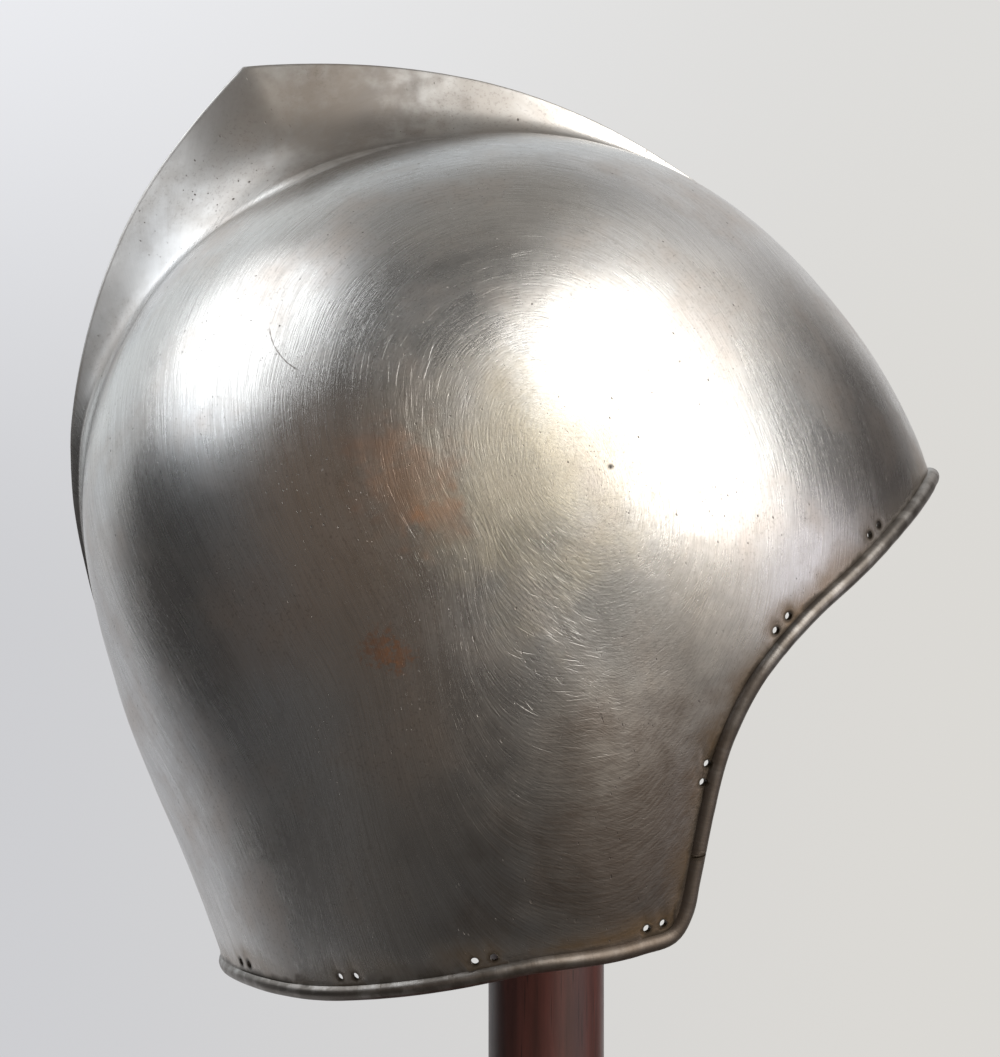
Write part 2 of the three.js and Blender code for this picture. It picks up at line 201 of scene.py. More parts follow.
@dataclass
class Skull:
    """The outer and inner skins of the plate over a unit sphere whose poles are the ears."""

    centre: tuple[float, float, float] = (-14.0, 0.0, 228.0)
    wall: float = 1.5
    half_width: float = 99.0
    radii: tuple[float, ...] = (
        134, 127.5, 121.8, 120, 120.2, 120.4, 119.6, 118.2, 119, 123, 125, 125.8,
        125.3, 123.4, 126.4, 133.7, 156, 208, 262, 214, 160, 137, 134, 136,
    )
    fullness: float = 2.6
    flank_middle: tuple[float, float] = (-10.0, -20.0)
    flank_fall: tuple[float, float] = (0.08, 0.09)
    swell: float = 2.5  # how far the skull stands up under the back of the comb
    swell_turn: tuple[float, float] = (92.0, 122.0)  # directions between which it rises
    comb: Comb = field(default_factory=Comb)

    def outline(self, phi: np.ndarray) -> np.ndarray:
        """Side outline without the comb: a uniform cubic spline through the ring of radii.

        Args:
            phi: directions in the helmet's middle plane, in radians.

        Returns:
            The radius at each direction.
        """
        values = np.array(self.radii, float)
        n = len(values)
        at = (phi / (2 * math.pi) % 1.0) * n
        i = np.floor(at).astype(int)
        f = at - i
        weights = ((1 - f) ** 3, 3 * f**3 - 6 * f**2 + 4, 1 + 3 * f + 3 * f**2 - 3 * f**3, f**3)
        return sum(w * values[(i + k - 1) % n] for k, w in enumerate(weights)) / 6

    def flank(self, outline: np.ndarray, share: np.ndarray, phi: np.ndarray) -> np.ndarray:
        """Half-width of the skull.

        Args:
            outline: side outline in each direction.
            share: how far out towards the outline, 0 at the ear and 1 on the middle plane.
            phi: the directions.

        Returns:
            The half-width at each place.
        """
        x = (outline * share * np.cos(phi) - self.flank_middle[0]) / 100
        z = (outline * share * np.sin(phi) - self.flank_middle[1]) / 100
        fall = 1 - self.flank_fall[0] * x * x - self.flank_fall[1] * z * z
        return self.half_width * np.sqrt(np.maximum(0, (1 - share**self.fullness) * fall))

    def skin(self, n: np.ndarray, depth: Any = 0.0) -> np.ndarray:
        """Points of the plate's skin.

        Args:
            n: unit directions, one a row.
            depth: how far inside the outer face the skin lies.

        Returns:
            One point a row, from the skull's centre.
        """
        comb = self.comb
        phi = np.arctan2(n[:, 2], n[:, 0])
        share = np.minimum(1, np.hypot(n[:, 0], n[:, 2]))
        turn = turned(phi)
        outline = self.outline(phi)
        sharp, soft = comb.crest(phi), comb.soft_crest(phi)
        swell = self.swell * ease(turn, self.swell_turn) * (1 - np.exp(-np.minimum(soft, sharp) / 10))
        full = outline + swell * share**2
        y = self.flank(full, share, phi) * (1 - depth / self.half_width)
        plain = (full - depth) * share
        crest_y = comb.crest_half_width
        height = lerp(sharp, soft, smooth((y - crest_y) / 9)) - swell
        tall = np.maximum(height, 0.05)
        lean = comb.lean(turn)
        across = y + depth * np.hypot(1, comb.slope(comb.depth_at((y - crest_y) / tall, lean), lean))
        root = crest_y + tall * comb.root
        round_off = crest_y - np.sqrt(crest_y**2 - np.minimum(across, crest_y) ** 2)
        below = tall * comb.depth_at((across - crest_y) / tall, lean) + round_off * np.clip(height / 4, 0, 1)
        crest = outline + swell + height - below - 0.15 * np.maximum(0, across - root) ** 2
        fade = comb.root_width + comb.fade_width * ease(turn, comb.fade_turn)
        fade = 0.05 + fade * np.clip(height / 6, 0, 1)
        lift = np.clip((crest - plain) / fade, -60, 400)
        radius = np.where(height > 0, plain + fade * np.logaddexp(0, lift), plain)
        return np.stack([radius * np.cos(phi), np.sign(n[:, 1]) * y, radius * np.sin(phi)], 1)

    def comb_root(self, phi: np.ndarray) -> np.ndarray:
        """Half-width of the comb at its root, in each direction."""
        tall = np.maximum(self.comb.soft_crest(phi) - self.swell, 0)
        return self.comb.crest_half_width + tall * self.comb.root

    def normal(self, n: np.ndarray) -> np.ndarray:
        """Outward normal of the outer skin at each direction.

        Args:
            n: unit directions, one a row.

        Returns:
            One unit normal a row.
        """
        step = 0.004
        side = np.cross(np.array([0.0, 1.0, 0.0]), n)
        side = np.where(np.linalg.norm(side, axis=1, keepdims=True) < 1e-6, [[1.0, 0, 0]], side)
        side = unit(side)
        up = np.cross(n, side)
        a = self.skin(unit(n + step * side)) - self.skin(unit(n - step * side))
        b = self.skin(unit(n + step * up)) - self.skin(unit(n - step * up))
        return unit(np.cross(a, b))


@dataclass
class EdgeLine:
    """Middle line of the turned edge, a smooth closed ring, and the sphere spread flat round it."""

    skull: Skull
    left: tuple[tuple[float, float, float], ...] = (
        (131, 0, 16), (127, 25, 13.5), (117, 50, 3), (101, 68, -11.5), (85.6, 78, -25),
        (72.4, 82, -40.3), (63, 82, -59.3), (57.6, 80, -79), (53.3, 77, -99), (51.5, 76, -108),
        (48, 76.5, -114.3), (38, 80, -116.6), (7, 86, -120.8), (-31, 79, -129),
        (-61, 59.5, -134), (-78, 34, -134), (-83, 0, -131),
    )
    divisions: int = 800

    def __post_init__(self) -> None:
        """Measures the ring once."""
        right = [(x, -y, z) for x, y, z in self.left[1:-1]][::-1]
        self.points = np.array([*self.left, *right], float)
        axis = np.array([-0.35, 0.0, 0.94])
        self.axis = axis / np.linalg.norm(axis)
        self.forward = np.array([self.axis[2], 0.0, -self.axis[0]])
        self.table = self.point(np.linspace(0, 1, self.divisions + 1))
        steps = np.linalg.norm(np.diff(self.table, axis=0), axis=1)
        self.reach = np.concatenate([[0], np.cumsum(steps)])

    @property
    def length(self) -> float:
        """Length of the whole ring."""
        return float(self.reach[-1])

    def point(self, t: np.ndarray) -> np.ndarray:
        """Centripetal spline through the ring's points, t from 0 to 1 round it.

        Args:
            t: shares of the way round the ring, by its points.

        Returns:
            One point a row, from the skull's centre.
        """
        count = len(self.points)
        at = np.asarray(t, float) * count
        i = np.floor(at).astype(int)
        w = (at - i)[:, None]
        p0, p1, p2, p3 = (self.points[(i + k) % count] for k in (-1, 0, 1, 2))
        d0, d1, d2 = (
            np.sqrt(np.linalg.norm(b - a, axis=1, keepdims=True))
            for a, b in ((p0, p1), (p1, p2), (p2, p3))
        )
        t1 = ((p1 - p0) / d0 - (p2 - p0) / (d0 + d1) + (p2 - p1) / d1) * d1
        t2 = ((p2 - p1) / d1 - (p3 - p1) / (d1 + d2) + (p3 - p2) / d2) * d1
        return p1 + t1 * w + (3 * (p2 - p1) - 2 * t1 - t2) * w**2 + (2 * (p1 - p2) + t1 + t2) * w**3

    def at(self, u: np.ndarray) -> np.ndarray:
        """Flat place of the edge, u from 0 at the brow to 1 at the nape, measured along it."""
        along = np.clip(np.asarray(u, float) / 2, 0, 0.5) * self.length
        return self.spread(self.point(np.interp(along, self.reach, np.linspace(0, 1, self.divisions + 1))))

    def spread(self, p: np.ndarray) -> np.ndarray:
        """Flat places of points of the outer skin.

        Args:
            p: points of the outer skin, one a row, from the skull's centre.

        Returns:
            One flat place a row.
        """
        phi = np.arctan2(p[:, 2], p[:, 0])
        outline = self.skull.outline(phi)
        share = np.minimum(0.999, np.hypot(p[:, 0], p[:, 2]) / outline)
        side = p[:, 1] * np.sqrt(1 - share * share) / self.skull.flank(outline, share, phi)
        n = unit(np.stack([share * np.cos(phi), side, share * np.sin(phi)], 1))
        angle = np.arccos(np.clip(n @ self.axis, -1, 1))
        ahead = n @ self.forward
        scale = angle / np.maximum(1e-9, np.hypot(ahead, n[:, 1]))
        return np.stack([ahead * scale, n[:, 1] * scale], 1)

    def fold(self, q: np.ndarray) -> np.ndarray:
        """Directions of the sphere at flat places.

        Args:
            q: flat places, one a row.

        Returns:
            One unit direction a row.
        """
        angle = np.maximum(np.linalg.norm(q, axis=1, keepdims=True), 1e-9)
        s = np.sin(angle) / angle
        side = np.array([0.0, 1.0, 0.0])
        return np.cos(angle) * self.axis + s * (q[:, :1] * self.forward + q[:, 1:] * side)


class Side(Enum):
    """Which flank of the helmet a mark is on."""

    RIGHT = -1
    LEFT = 1


@dataclass(frozen=True)
class Dent:
    """A shallow dent, or a bump where depth is negative, by its place on the side view."""

    x: float
    z: float
    reach: float
    depth: float
    side: Side = Side.RIGHT


@dataclass(frozen=True)
class Split:
    """A crack across the turned edge: its place along the edge and its length across."""

    along: float
    across: float
    width: float
    slant: float
    side: Side = Side.RIGHT


@dataclass
class HelmetPlate:
    """The whole helmet: skull, comb, cheeks, nape and turned edge in one plate, with lining holes."""

    name: str = "helmet_plate"
    skull: Skull = field(default_factory=Skull)
    along: int = 168
    across: int = 108
    peak_column: int = 76
    row_stops: tuple[float, float, float, float] = (0.0, 0.056, 0.30, 0.42)
    crest_share: float = 0.0042
    roll_steps: int = 14
    roll_radius: float = 2.38
    roll_rise: tuple[float, float] = (1.8, 0.4)
    brow_corner: float = 0.22
    nape_corner: float = 0.86
    hole_pairs: tuple[float, ...] = (0.03, 0.184, 0.294, 0.415, 0.538, 0.661, 0.769, 0.888)
    hole_radius: float = 1.05
    hole_spacing: float = 5.4
    hole_inset: float = 5.3
    dimple: float = 0.4
    dimple_reach: float = 1.9
    fine_reach: float = 3.1  # how far from a hole the grid is finer
    dents: tuple[Dent, ...] = (
        Dent(-28.4, 135.0, 2.6, 0.16),
        Dent(-115.5, -21.5, 3.0, 0.35),
        Dent(-60.0, 40.0, 22.0, 0.35),
        Dent(18.0, -20.0, 26.0, 0.3),
        Dent(-30.0, -60.0, 30.0, -0.35),
        Dent(60.0, 30.0, 18.0, -0.2),
        Dent(-40.0, 20.0, 24.0, 0.35, Side.LEFT),
        Dent(30.0, -50.0, 9.0, 0.5, Side.LEFT),
        Dent(55.0, 45.0, 16.0, 0.3, Side.LEFT),
    )
    splits: tuple[Split, ...] = (
        Split(0.462, 5.2, 0.35, 0.35),
        Split(0.70, 4.0, 0.25, 0.4, Side.LEFT),
    )

    def __post_init__(self) -> None:
        """Sets out the edge and the places that the grid is hung on."""
        self.edge = EdgeLine(self.skull)
        peak = math.radians(self.skull.comb.peak)
        n = np.array([math.cos(peak), 0, math.sin(peak)])
        self.peak_place = math.copysign(math.acos(float(n @ self.edge.axis)), float(n @ self.edge.forward))
        self.brow, self.nape = self.edge.at(np.array([0.0, 1.0]))
        self.back_corner, self.front_corner = self.edge.at(np.array([self.nape_corner, self.brow_corner]))
        self.root_rows = self.find_root()

    def flat(self, s: np.ndarray, t: np.ndarray) -> np.ndarray:
        """Flat places of the plate's grid.

        Args:
            s: -1 at the nape to 1 at the brow.
            t: -1 at the right-hand edge, 0 at the crest, 1 at the left-hand edge.

        Returns:
            One flat place a row.
        """
        f, a, stops = (s + 1) / 2, np.abs(t), self.row_stops
        root = np.interp(f, *self.root_rows)
        zero, near = np.zeros_like(root), np.full_like(root, self.crest_share)
        rows = (zero, near, 0.85 * root, 1.15 * root)
        w = np.select(
            [a < stops[k + 1] for k in range(3)],
            [lerp(rows[k], rows[k + 1], (a - stops[k]) / (stops[k + 1] - stops[k])) for k in range(3)],
            lerp(rows[3], 1.0, np.clip((a - stops[3]) / (1 - stops[3]), 0, 1) ** 1.25),
        )
        q = self.sheet(f, w)
        return q * np.stack([np.ones_like(t), np.where(t < 0, -1.0, 1.0)], 1)

    def sheet(self, f: np.ndarray, w: np.ndarray) -> np.ndarray:
        """Flat places of the left-hand half.

        Args:
            f: 0 at the nape to 1 at the brow.
            w: 0 at the crest to 1 at the edge.

        Returns:
            One flat place a row.
        """
        peak_share = self.peak_column / self.along
        back = lerp(self.nape[0], self.peak_place, f / peak_share)
        front = lerp(self.peak_place, self.brow[0], (f - peak_share) / (1 - peak_share))
        crest = np.stack([np.where(f < peak_share, back, front), np.zeros_like(f)], 1)
        low = self.edge.at(lerp(self.nape_corner, self.brow_corner, f))
        rear = self.edge.at(lerp(1.0, self.nape_corner, w))
        fore = self.edge.at(lerp(0.0, self.brow_corner, w))
        f, w = f[:, None], w[:, None]
        q = crest * (1 - w) + low * w + rear * (1 - f) + fore * f
        q -= (1 - f) * ((1 - w) * self.nape + w * self.back_corner)
        return q - f * ((1 - w) * self.brow + w * self.front_corner)

    def find_root(self) -> tuple[np.ndarray, np.ndarray]:
        """Where the comb's root lies in each column, as a share of the way to the edge.

        Returns:
            The columns from nape to brow, and the share in each.
        """
        columns, shares = np.linspace(0, 1, 85), np.linspace(0, 0.4, 81)
        found = []
        for f in columns:
            n = self.edge.fold(self.sheet(np.full_like(shares, f), shares))
            width = np.abs(self.skull.skin(n)[:, 1])
            phi = np.arctan2(n[:1, 2], n[:1, 0])
            found.append(np.interp(float(self.skull.comb_root(phi)[0]), np.maximum.accumulate(width), shares))
        weights = np.exp(-0.5 * (np.arange(-4, 5) / 1.6) ** 2)
        even = np.convolve(np.pad(found, 4, mode="edge"), weights / weights.sum(), mode="valid")
        return columns, np.maximum(even, 0.04)

    def direction(self, s: np.ndarray, t: np.ndarray) -> np.ndarray:
        """Directions of the sphere under places of the grid."""
        return self.edge.fold(self.flat(np.clip(s, -1, 1), np.clip(t, -1, 1)))

    def holes(self) -> list[tuple[np.ndarray, np.ndarray]]:
        """Middle and outward normal of each lining hole, both flanks.

        Returns:
            A middle and a normal for each hole, in millimetres from the skull's centre.
        """
        step = self.hole_spacing / self.edge.length
        u = np.array([pair + sign * step for pair in self.hole_pairs for sign in (-1, 1)])
        q = self.edge.at(u)
        ahead = unit(self.edge.at(u + 0.01) - self.edge.at(u - 0.01))
        inward = np.stack([-ahead[:, 1], ahead[:, 0]], 1)
        inward *= np.where((inward * q).sum(1) > 0, -1.0, 1.0)[:, None]
        here = self.skull.skin(self.edge.fold(q))
        reach = np.linalg.norm(self.skull.skin(self.edge.fold(q + 0.05 * inward)) - here, axis=1)
        n = self.edge.fold(q + inward * (0.05 * self.hole_inset / reach)[:, None])
        middles, normals = self.skull.skin(n, self.skull.wall / 2), self.skull.normal(n)
        flip = np.array([1.0, -1.0, 1.0])
        return [(m * k, v * k) for m, v in zip(middles, normals) for k in (np.ones(3), flip)]

    def slab(self, holes: Holes) -> bmesh.types.BMesh:
        """The unfolded plate: two grids bridged round their rims, finer round the holes.

        Args:
            holes: middle and normal of each lining hole.

        Returns:
            The closed slab, with its places along, across and through it as coordinates.
        """
        bm = bmesh.new()
        for level in (0.5, -0.5):
            made = bmesh.ops.create_grid(
                bm, x_segments=self.along, y_segments=2 * self.across, size=1.0,
                matrix=Matrix.Translation((0, 0, level)),
            )
            if level < 0:
                faces = {f for v in made["verts"] for f in v.link_faces}
                bmesh.ops.reverse_faces(bm, faces=list(faces))
        rim = [e for e in bm.edges if e.is_boundary]
        bmesh.ops.bridge_loops(bm, edges=rim)
        posts = [e for e in bm.edges if abs(e.verts[0].co.z - e.verts[1].co.z) > 0.9]
        bmesh.ops.subdivide_edges(bm, edges=posts, cuts=self.roll_steps - 1, use_grid_fill=True)
        self.refine(bm, holes)
        bmesh.ops.recalc_face_normals(bm, faces=bm.faces)
        return bm

    def refine(self, bm: bmesh.types.BMesh, holes: Holes) -> None:
        """Divides the cells round the lining holes.

        Args:
            bm: the slab.
            holes: middle and normal of each lining hole.
        """
        faces = [f for f in bm.faces if abs(abs(f.calc_center_median().z) - 0.5) < 1e-4]
        middle = np.array([f.calc_center_median() for f in faces], float)
        place = self.skull.skin(self.direction(middle[:, 0], middle[:, 1]), self.skull.wall / 2)
        near = np.zeros(len(faces), bool)
        for centre, _ in holes:
            near |= np.linalg.norm(place - centre, axis=1) < self.fine_reach
        edges = {e for f, k in zip(faces, near) if k for e in f.edges}

        def inner(e: bmesh.types.BMEdge) -> bool:
            """Whether an edge lies off the rim."""
            return any(max(abs(v.co.x), abs(v.co.y)) < BORDER for v in e.verts)

        bmesh.ops.subdivide_edges(bm, edges=[e for e in edges if inner(e)], cuts=2, use_grid_fill=True)

    def unevenness(self, p: np.ndarray, side: np.ndarray) -> np.ndarray:
        """How far the hand-raised plate stands off the true skin, in millimetres.

        Args:
            p: points of the plate, one a row, from the skull's centre.
            side: below 0 on the right flank and above 0 on the left.

        Returns:
            The offset along the normal at each point.
        """
        offset = np.array([
            0.26 * noise.noise(Vector(q) / 34.0) + 0.09 * noise.noise(Vector(q) / 13.0 + Vector((7, 3, 1)))
            + 0.03 * noise.noise(Vector(q) / 5.0 + Vector((2, 9, 4)))
            for q in p
        ])
        for dent in self.dents:
            apart = np.hypot(p[:, 0] - dent.x, p[:, 2] - dent.z)
            offset -= dent.depth * np.exp(-((apart / dent.reach) ** 2)) * (side * dent.side.value > 0)
        return offset

    def folded(self, place: np.ndarray, holes: Holes) -> np.ndarray:
        """Points of the helmet for places of the slab.

        Args:
            place: slab coordinates, one a row: along, across, and 0.5 outside to -0.5 inside.
            holes: middle and normal of each lining hole.

        Returns:
            Points from the skull's centre, in millimetres.
        """
        skull = self.skull
        s, t, z = place.T
        n = self.direction(s, t)
        normal = skull.normal(n)
        points = skull.skin(n, np.where(z > 0, 0.0, skull.wall))
        border = np.maximum(np.abs(s), np.abs(t)) > BORDER
        points[border] = self.roll(s[border], t[border], z[border], n[border], normal[border])
        offset = self.unevenness(points, t)
        for centre, _ in holes:
            apart = np.linalg.norm(points - centre, axis=1)
            offset -= self.dimple * np.exp(-((apart / self.dimple_reach) ** 2))
        return points + normal * offset[:, None]

    def roll(
        self, s: np.ndarray, t: np.ndarray, z: np.ndarray, n: np.ndarray, normal: np.ndarray,
    ) -> np.ndarray:
        """Points of the turned edge.

        Args:
            s: slab coordinate along the helmet.
            t: slab coordinate across it.
            z: slab coordinate through the rim, 0.5 outside to -0.5 inside.
            n: directions of the sphere under those places.
            normal: outward normals of the skin there.

        Returns:
            Points from the skull's centre, in millimetres.
        """
        skull, radius = self.skull, self.roll_radius
        foot = skull.skin(n, skull.wall)
        ends = np.abs(s) > BORDER
        step_s, step_t = np.where(ends, 0, 0.01), np.where(ends, 0.01, 0)
        ahead = skull.skin(self.direction(s + step_s, t + step_t), skull.wall)
        behind = skull.skin(self.direction(s - step_s, t - step_t), skull.wall)
        inward = skull.skin(self.direction(s * 0.985, t * 0.985), skull.wall) - foot
        out = unit(np.cross(unit(ahead - behind), normal))
        out *= np.where((out * inward).sum(1) > 0, -1.0, 1.0)[:, None]
        left = np.array(self.edge.left)
        to_nape = (left[0, 0] - foot[:, 0]) / (left[0, 0] - left[-1, 0])
        rise = lerp(*self.roll_rise, to_nape)
        self.roll_middles = foot + normal * rise[:, None]
        uneven = np.array([noise.noise(Vector(p) / 9.0) for p in foot])
        size = radius * (1 - 0.05 * np.abs(uneven))
        first = -np.arccos(rise / size)
        last = 2 * math.pi - np.arccos((rise - skull.wall) / size)
        angle = lerp(first, last, z + 0.5)
        lift = (rise - size * np.cos(angle))[:, None]
        return foot + out * (size * np.sin(angle))[:, None] + normal * lift

    def build(self) -> bpy.types.Object:
        """Makes the finished plate.

        Returns:
            The helmet's object, in metres in the CAD frame.
        """
        holes = self.holes()
        bm = self.slab(holes)
        place = np.array([v.co for v in bm.verts], float)
        points = self.folded(place, holes)
        flat = self.flat(place[:, 0], place[:, 1])
        points = self.fitted((points + np.array(self.skull.centre)) * MM)
        uv = bm.loops.layers.uv.new("spread")
        edging = bm.verts.layers.float.new("edging")
        inside = bm.verts.layers.float.new("inside")
        wall = bm.verts.layers.float.new("wall")
        on_wall = self.comb_share(place[:, 0], place[:, 1])
        bm.verts.index_update()
        for v, p, (s, t, z), share in zip(bm.verts, points, place, on_wall):
            v.co = p
            v[edging] = float(max(abs(s), abs(t)) > BORDER)
            v[inside] = 0.5 - z
            v[wall] = share
        for f in bm.faces:
            for loop in f.loops:
                loop[uv].uv = flat[loop.vert.index]
        bmesh.ops.triangulate(bm, faces=[f for f in bm.faces if len(f.verts) > 4])
        piece = new_object(self.name, new_mesh(self.name, bm))
        self.cut(piece, holes)
        self.mark(piece.data, holes)
        return piece

    def comb_share(self, s: np.ndarray, t: np.ndarray) -> np.ndarray:
        """How far each place of the grid lies on the comb's wall, 1 on the wall and 0 off the comb.

        Args:
            s: slab coordinate along the helmet.
            t: slab coordinate across it.

        Returns:
            The share at each place.
        """
        n = self.direction(s, t)
        tall = self.skull.comb.crest(np.arctan2(n[:, 2], n[:, 0]))
        above = 1 - smooth((np.abs(t) - 0.27) / 0.1)
        return above * smooth((tall - 4) / 12)

    def fitted(self, points: np.ndarray) -> np.ndarray:
        """The points brought inside the CAD node's box by one even scaling about its middle.

        Args:
            points: points of the plate, in metres in the CAD frame.

        Returns:
            The same points, scaled.
        """
        low, high = (np.array(corner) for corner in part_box("helmet"))
        middle = (low + high) / 2
        reach = np.abs(points - middle).max(axis=0)
        scale = min(1.0, float(((high - low) / 2 / reach).min()) * 0.9998)
        log.info("helmet scaled by %.5f to stay inside its box", scale)
        return middle + (points - middle) * scale

    def cut(self, piece: bpy.types.Object, holes: Holes) -> None:
        """Punches the lining holes and opens the cracks.

        Args:
            piece: the plate's object, which is given the cut mesh.
            holes: middle and normal of each lining hole.
        """
        bm = bmesh.new()
        centre = np.array(self.skull.centre)
        for middle, normal in holes:
            turn = Vector((0, 0, 1)).rotation_difference(Vector(normal)).to_matrix().to_4x4()
            bmesh.ops.create_cone(
                bm, cap_ends=True, segments=20, radius1=self.hole_radius * MM,
                radius2=self.hole_radius * 1.12 * MM, depth=6 * MM,
                matrix=Matrix.Translation(Vector((middle + centre) * MM)) @ turn,
            )
        for split in self.splits:
            self.wedge(bm, split)
        mesh = new_mesh("punches", bm)
        tool = new_object("punches", mesh)
        modifier = piece.modifiers.new("punch", "BOOLEAN")
        modifier.operation = "DIFFERENCE"
        modifier.solver = "MANIFOLD"
        modifier.object = tool
        bpy.context.view_layer.update()
        seen = piece.evaluated_get(bpy.context.evaluated_depsgraph_get())
        cut = bpy.data.meshes.new_from_object(seen)
        piece.modifiers.clear()
        old = piece.data
        if len(cut.polygons) < len(old.polygons):
            raise RuntimeError(f"punching left {len(cut.polygons)} of {len(old.polygons)} faces of the plate")
        piece.data = cut
        cut.name = self.name
        bpy.data.meshes.remove(old)
        bpy.data.objects.remove(tool)
        bpy.data.meshes.remove(mesh)

    def wedge(self, bm: bmesh.types.BMesh, split: Split) -> None:
        """Adds the thin blade that opens one crack.

        Args:
            bm: the punches so far.
            split: the crack to open.
        """
        q = self.edge.at(np.array([split.along]))
        n = self.edge.fold(q)
        middle, normal = self.skull.skin(n)[0], self.skull.normal(n)[0]
        ahead = self.skull.skin(self.edge.fold(self.edge.at(np.array([split.along + 0.005]))))[0] - middle
        flip = np.array([1.0, split.side.value, 1.0])
        middle, normal, ahead = middle * flip, Vector(normal * flip), Vector(ahead * flip).normalized()
        ahead = Quaternion(normal, split.slant) @ ahead
        across = normal.cross(ahead).normalized()
        axes = Matrix((ahead, across, normal)).transposed().to_4x4()
        size = Matrix.Diagonal((split.width * MM, split.across * 2 * MM, 3.4 * MM, 1))
        out = middle + np.array(self.skull.centre) + np.array(normal) * 1.9
        bmesh.ops.create_cube(bm, size=1.0, matrix=Matrix.Translation(Vector(out * MM)) @ axes @ size)

    def mark(self, mesh: bpy.types.Mesh, holes: Holes) -> None:
        """Smooths the faces and writes how far each point is from the turned edge and from a hole.

        Args:
            mesh: the finished mesh.
            holes: middle and normal of each lining hole.
        """
        mesh.shade_smooth()
        mesh.set_sharp_from_angle(angle=math.radians(40))
        count = len(mesh.vertices)
        points = np.empty(count * 3)
        mesh.vertices.foreach_get("co", points)
        points = points.reshape(-1, 3) / MM - np.array(self.skull.centre)
        middles = kdtree.KDTree(len(self.roll_middles))
        for i, p in enumerate(self.roll_middles):
            middles.insert(p, i)
        middles.balance()
        gap = np.array([middles.find(p)[2] for p in points]) - self.roll_radius
        hole = np.full(count, 1e9)
        for centre, _ in holes:
            hole = np.minimum(hole, np.linalg.norm(points - centre, axis=1))
        for name, values in (("rim", gap), ("hole", hole)):
            attribute = mesh.attributes.new(name, "FLOAT", "POINT")
            attribute.data.foreach_set("value", values.astype(np.float32))


# ---- Turned wooden stand ------------------------------------------------------------------------


def arc(
    x: float, z: float, radius: float, start: float, end: float, steps: int,
) -> list[tuple[float, float]]:
    """Points of an arc in a turning profile.

    Args:
        x: radius of the profile at the arc's middle.
        z: height of the arc's middle.
        radius: the arc's own radius.
        start: angle of its first point, in degrees.
        end: angle of its last point.
        steps: how many straight steps it has.

    Returns:
        Its points, as radius and height.
    """
    angles = (math.radians(start + (end - start) * i / steps) for i in range(steps + 1))
    return [(x + radius * math.cos(a), z + radius * math.sin(a)) for a in angles]


def sort_by_place(bm: bmesh.types.BMesh) -> None:
    """Sorts a mesh's parts by place, because a spin makes them in an order that differs from run to run.

    Args:
        bm: the finished bmesh.
    """
    order = {v: i for i, v in enumerate(sorted(bm.verts, key=lambda v: tuple(v.co)))}
    bm.verts.sort(key=lambda v: order[v])
    for parts in (bm.edges, bm.faces):
        ranks = sorted(parts, key=lambda part: sorted(order[v] for v in part.verts))
        place = {part: i for i, part in enumerate(ranks)}
        parts.sort(key=lambda part: place[part])


@dataclass
class TurnedPiece:
    """A wooden piece turned on the lathe, from its [radius, height] profile in millimetres."""

    name: str
    node: str
    profile: list[tuple[float, float]]
    sides: int = 128

    def build(self) -> bpy.types.Object:
        """Spins the profile into a closed body.

        Returns:
            The piece's object, in metres in the CAD frame.
        """
        bm = bmesh.new()
        verts = [bm.verts.new((r * MM, 0, z * MM)) for r, z in self.profile]
        edges = [bm.edges.new(pair) for pair in zip(verts, verts[1:])]
        bmesh.ops.spin(
            bm, geom=verts + edges, cent=(0, 0, 0), axis=(0, 0, 1), angle=2 * math.pi,
            steps=self.sides, use_merge=True,
        )
        bmesh.ops.remove_doubles(bm, verts=bm.verts, dist=1e-6)
        bmesh.ops.recalc_face_normals(bm, faces=bm.faces)
        sort_by_place(bm)
        mesh = new_mesh(self.name, bm)
        mesh.shade_smooth()
        mesh.set_sharp_from_angle(angle=math.radians(35))
        return new_object(self.name, mesh)


@dataclass
class Stand:
    """The post that the helmet hangs on, with its hidden head and its round foot."""

    post_radius: float = 17.5
    foot_radius: float = 92.0
    foot_height: float = 24.0
    head_radius: float = 42.0
    crown_radius: float = 75.0
    head_top: float = 344.0
    clearance: float = 0.3
    tenon: float = 14.0

    def pieces(self) -> list[TurnedPiece]:
        """The three turned pieces with their profiles.

        Returns:
            The post, the head and the foot.
        """
        socket = self.post_radius + self.clearance
        base = self.head_top - 34
        low = self.foot_height - self.tenon
        top = base + self.tenon - self.clearance
        foot = [
            (0, 0), (self.foot_radius - 3.5, 0), *arc(self.foot_radius - 5, 5, 4.98, -70, 90, 10),
            (self.foot_radius - 8, 9.7), (self.foot_radius - 10, 9.4),
            *arc(self.foot_radius - 16, 12.2, 2.2, -60, -180, 6),
            *arc(30, self.foot_height - 3.2, 3.1, 62, 90, 5), (26, self.foot_height - 0.2),
            (24, self.foot_height - 0.9), (22, self.foot_height - 0.2),
            (socket + 0.6, self.foot_height - 0.1), (socket, self.foot_height - 0.7), (socket, low), (0, low),
        ]
        post = [
            (0, low + self.clearance), (self.post_radius - 0.8, low + self.clearance),
            (self.post_radius, low + self.clearance + 0.8), (self.post_radius, base + self.tenon - 1.1),
            (self.post_radius - 0.8, top), (0, top),
        ]
        head = [
            (0, base + self.tenon), (socket, base + self.tenon), (socket, base + 0.6), (socket + 0.6, base),
            (self.post_radius + 8, base), *arc(self.head_radius - 6, self.head_top - 21, 5.95, -70, 40, 12),
            *arc(0, self.head_top - self.crown_radius, self.crown_radius - 0.05, 60, 89.5, 18),
            (0, self.head_top - 0.05),
        ]
        return [
            TurnedPiece("post_turned", "stand_post", post),
            TurnedPiece("head_turned", "stand_head", head),
            TurnedPiece("foot_turned", "stand_foot", foot),
        ]


# ---- Shader building -----------------------------------------------------------------------------


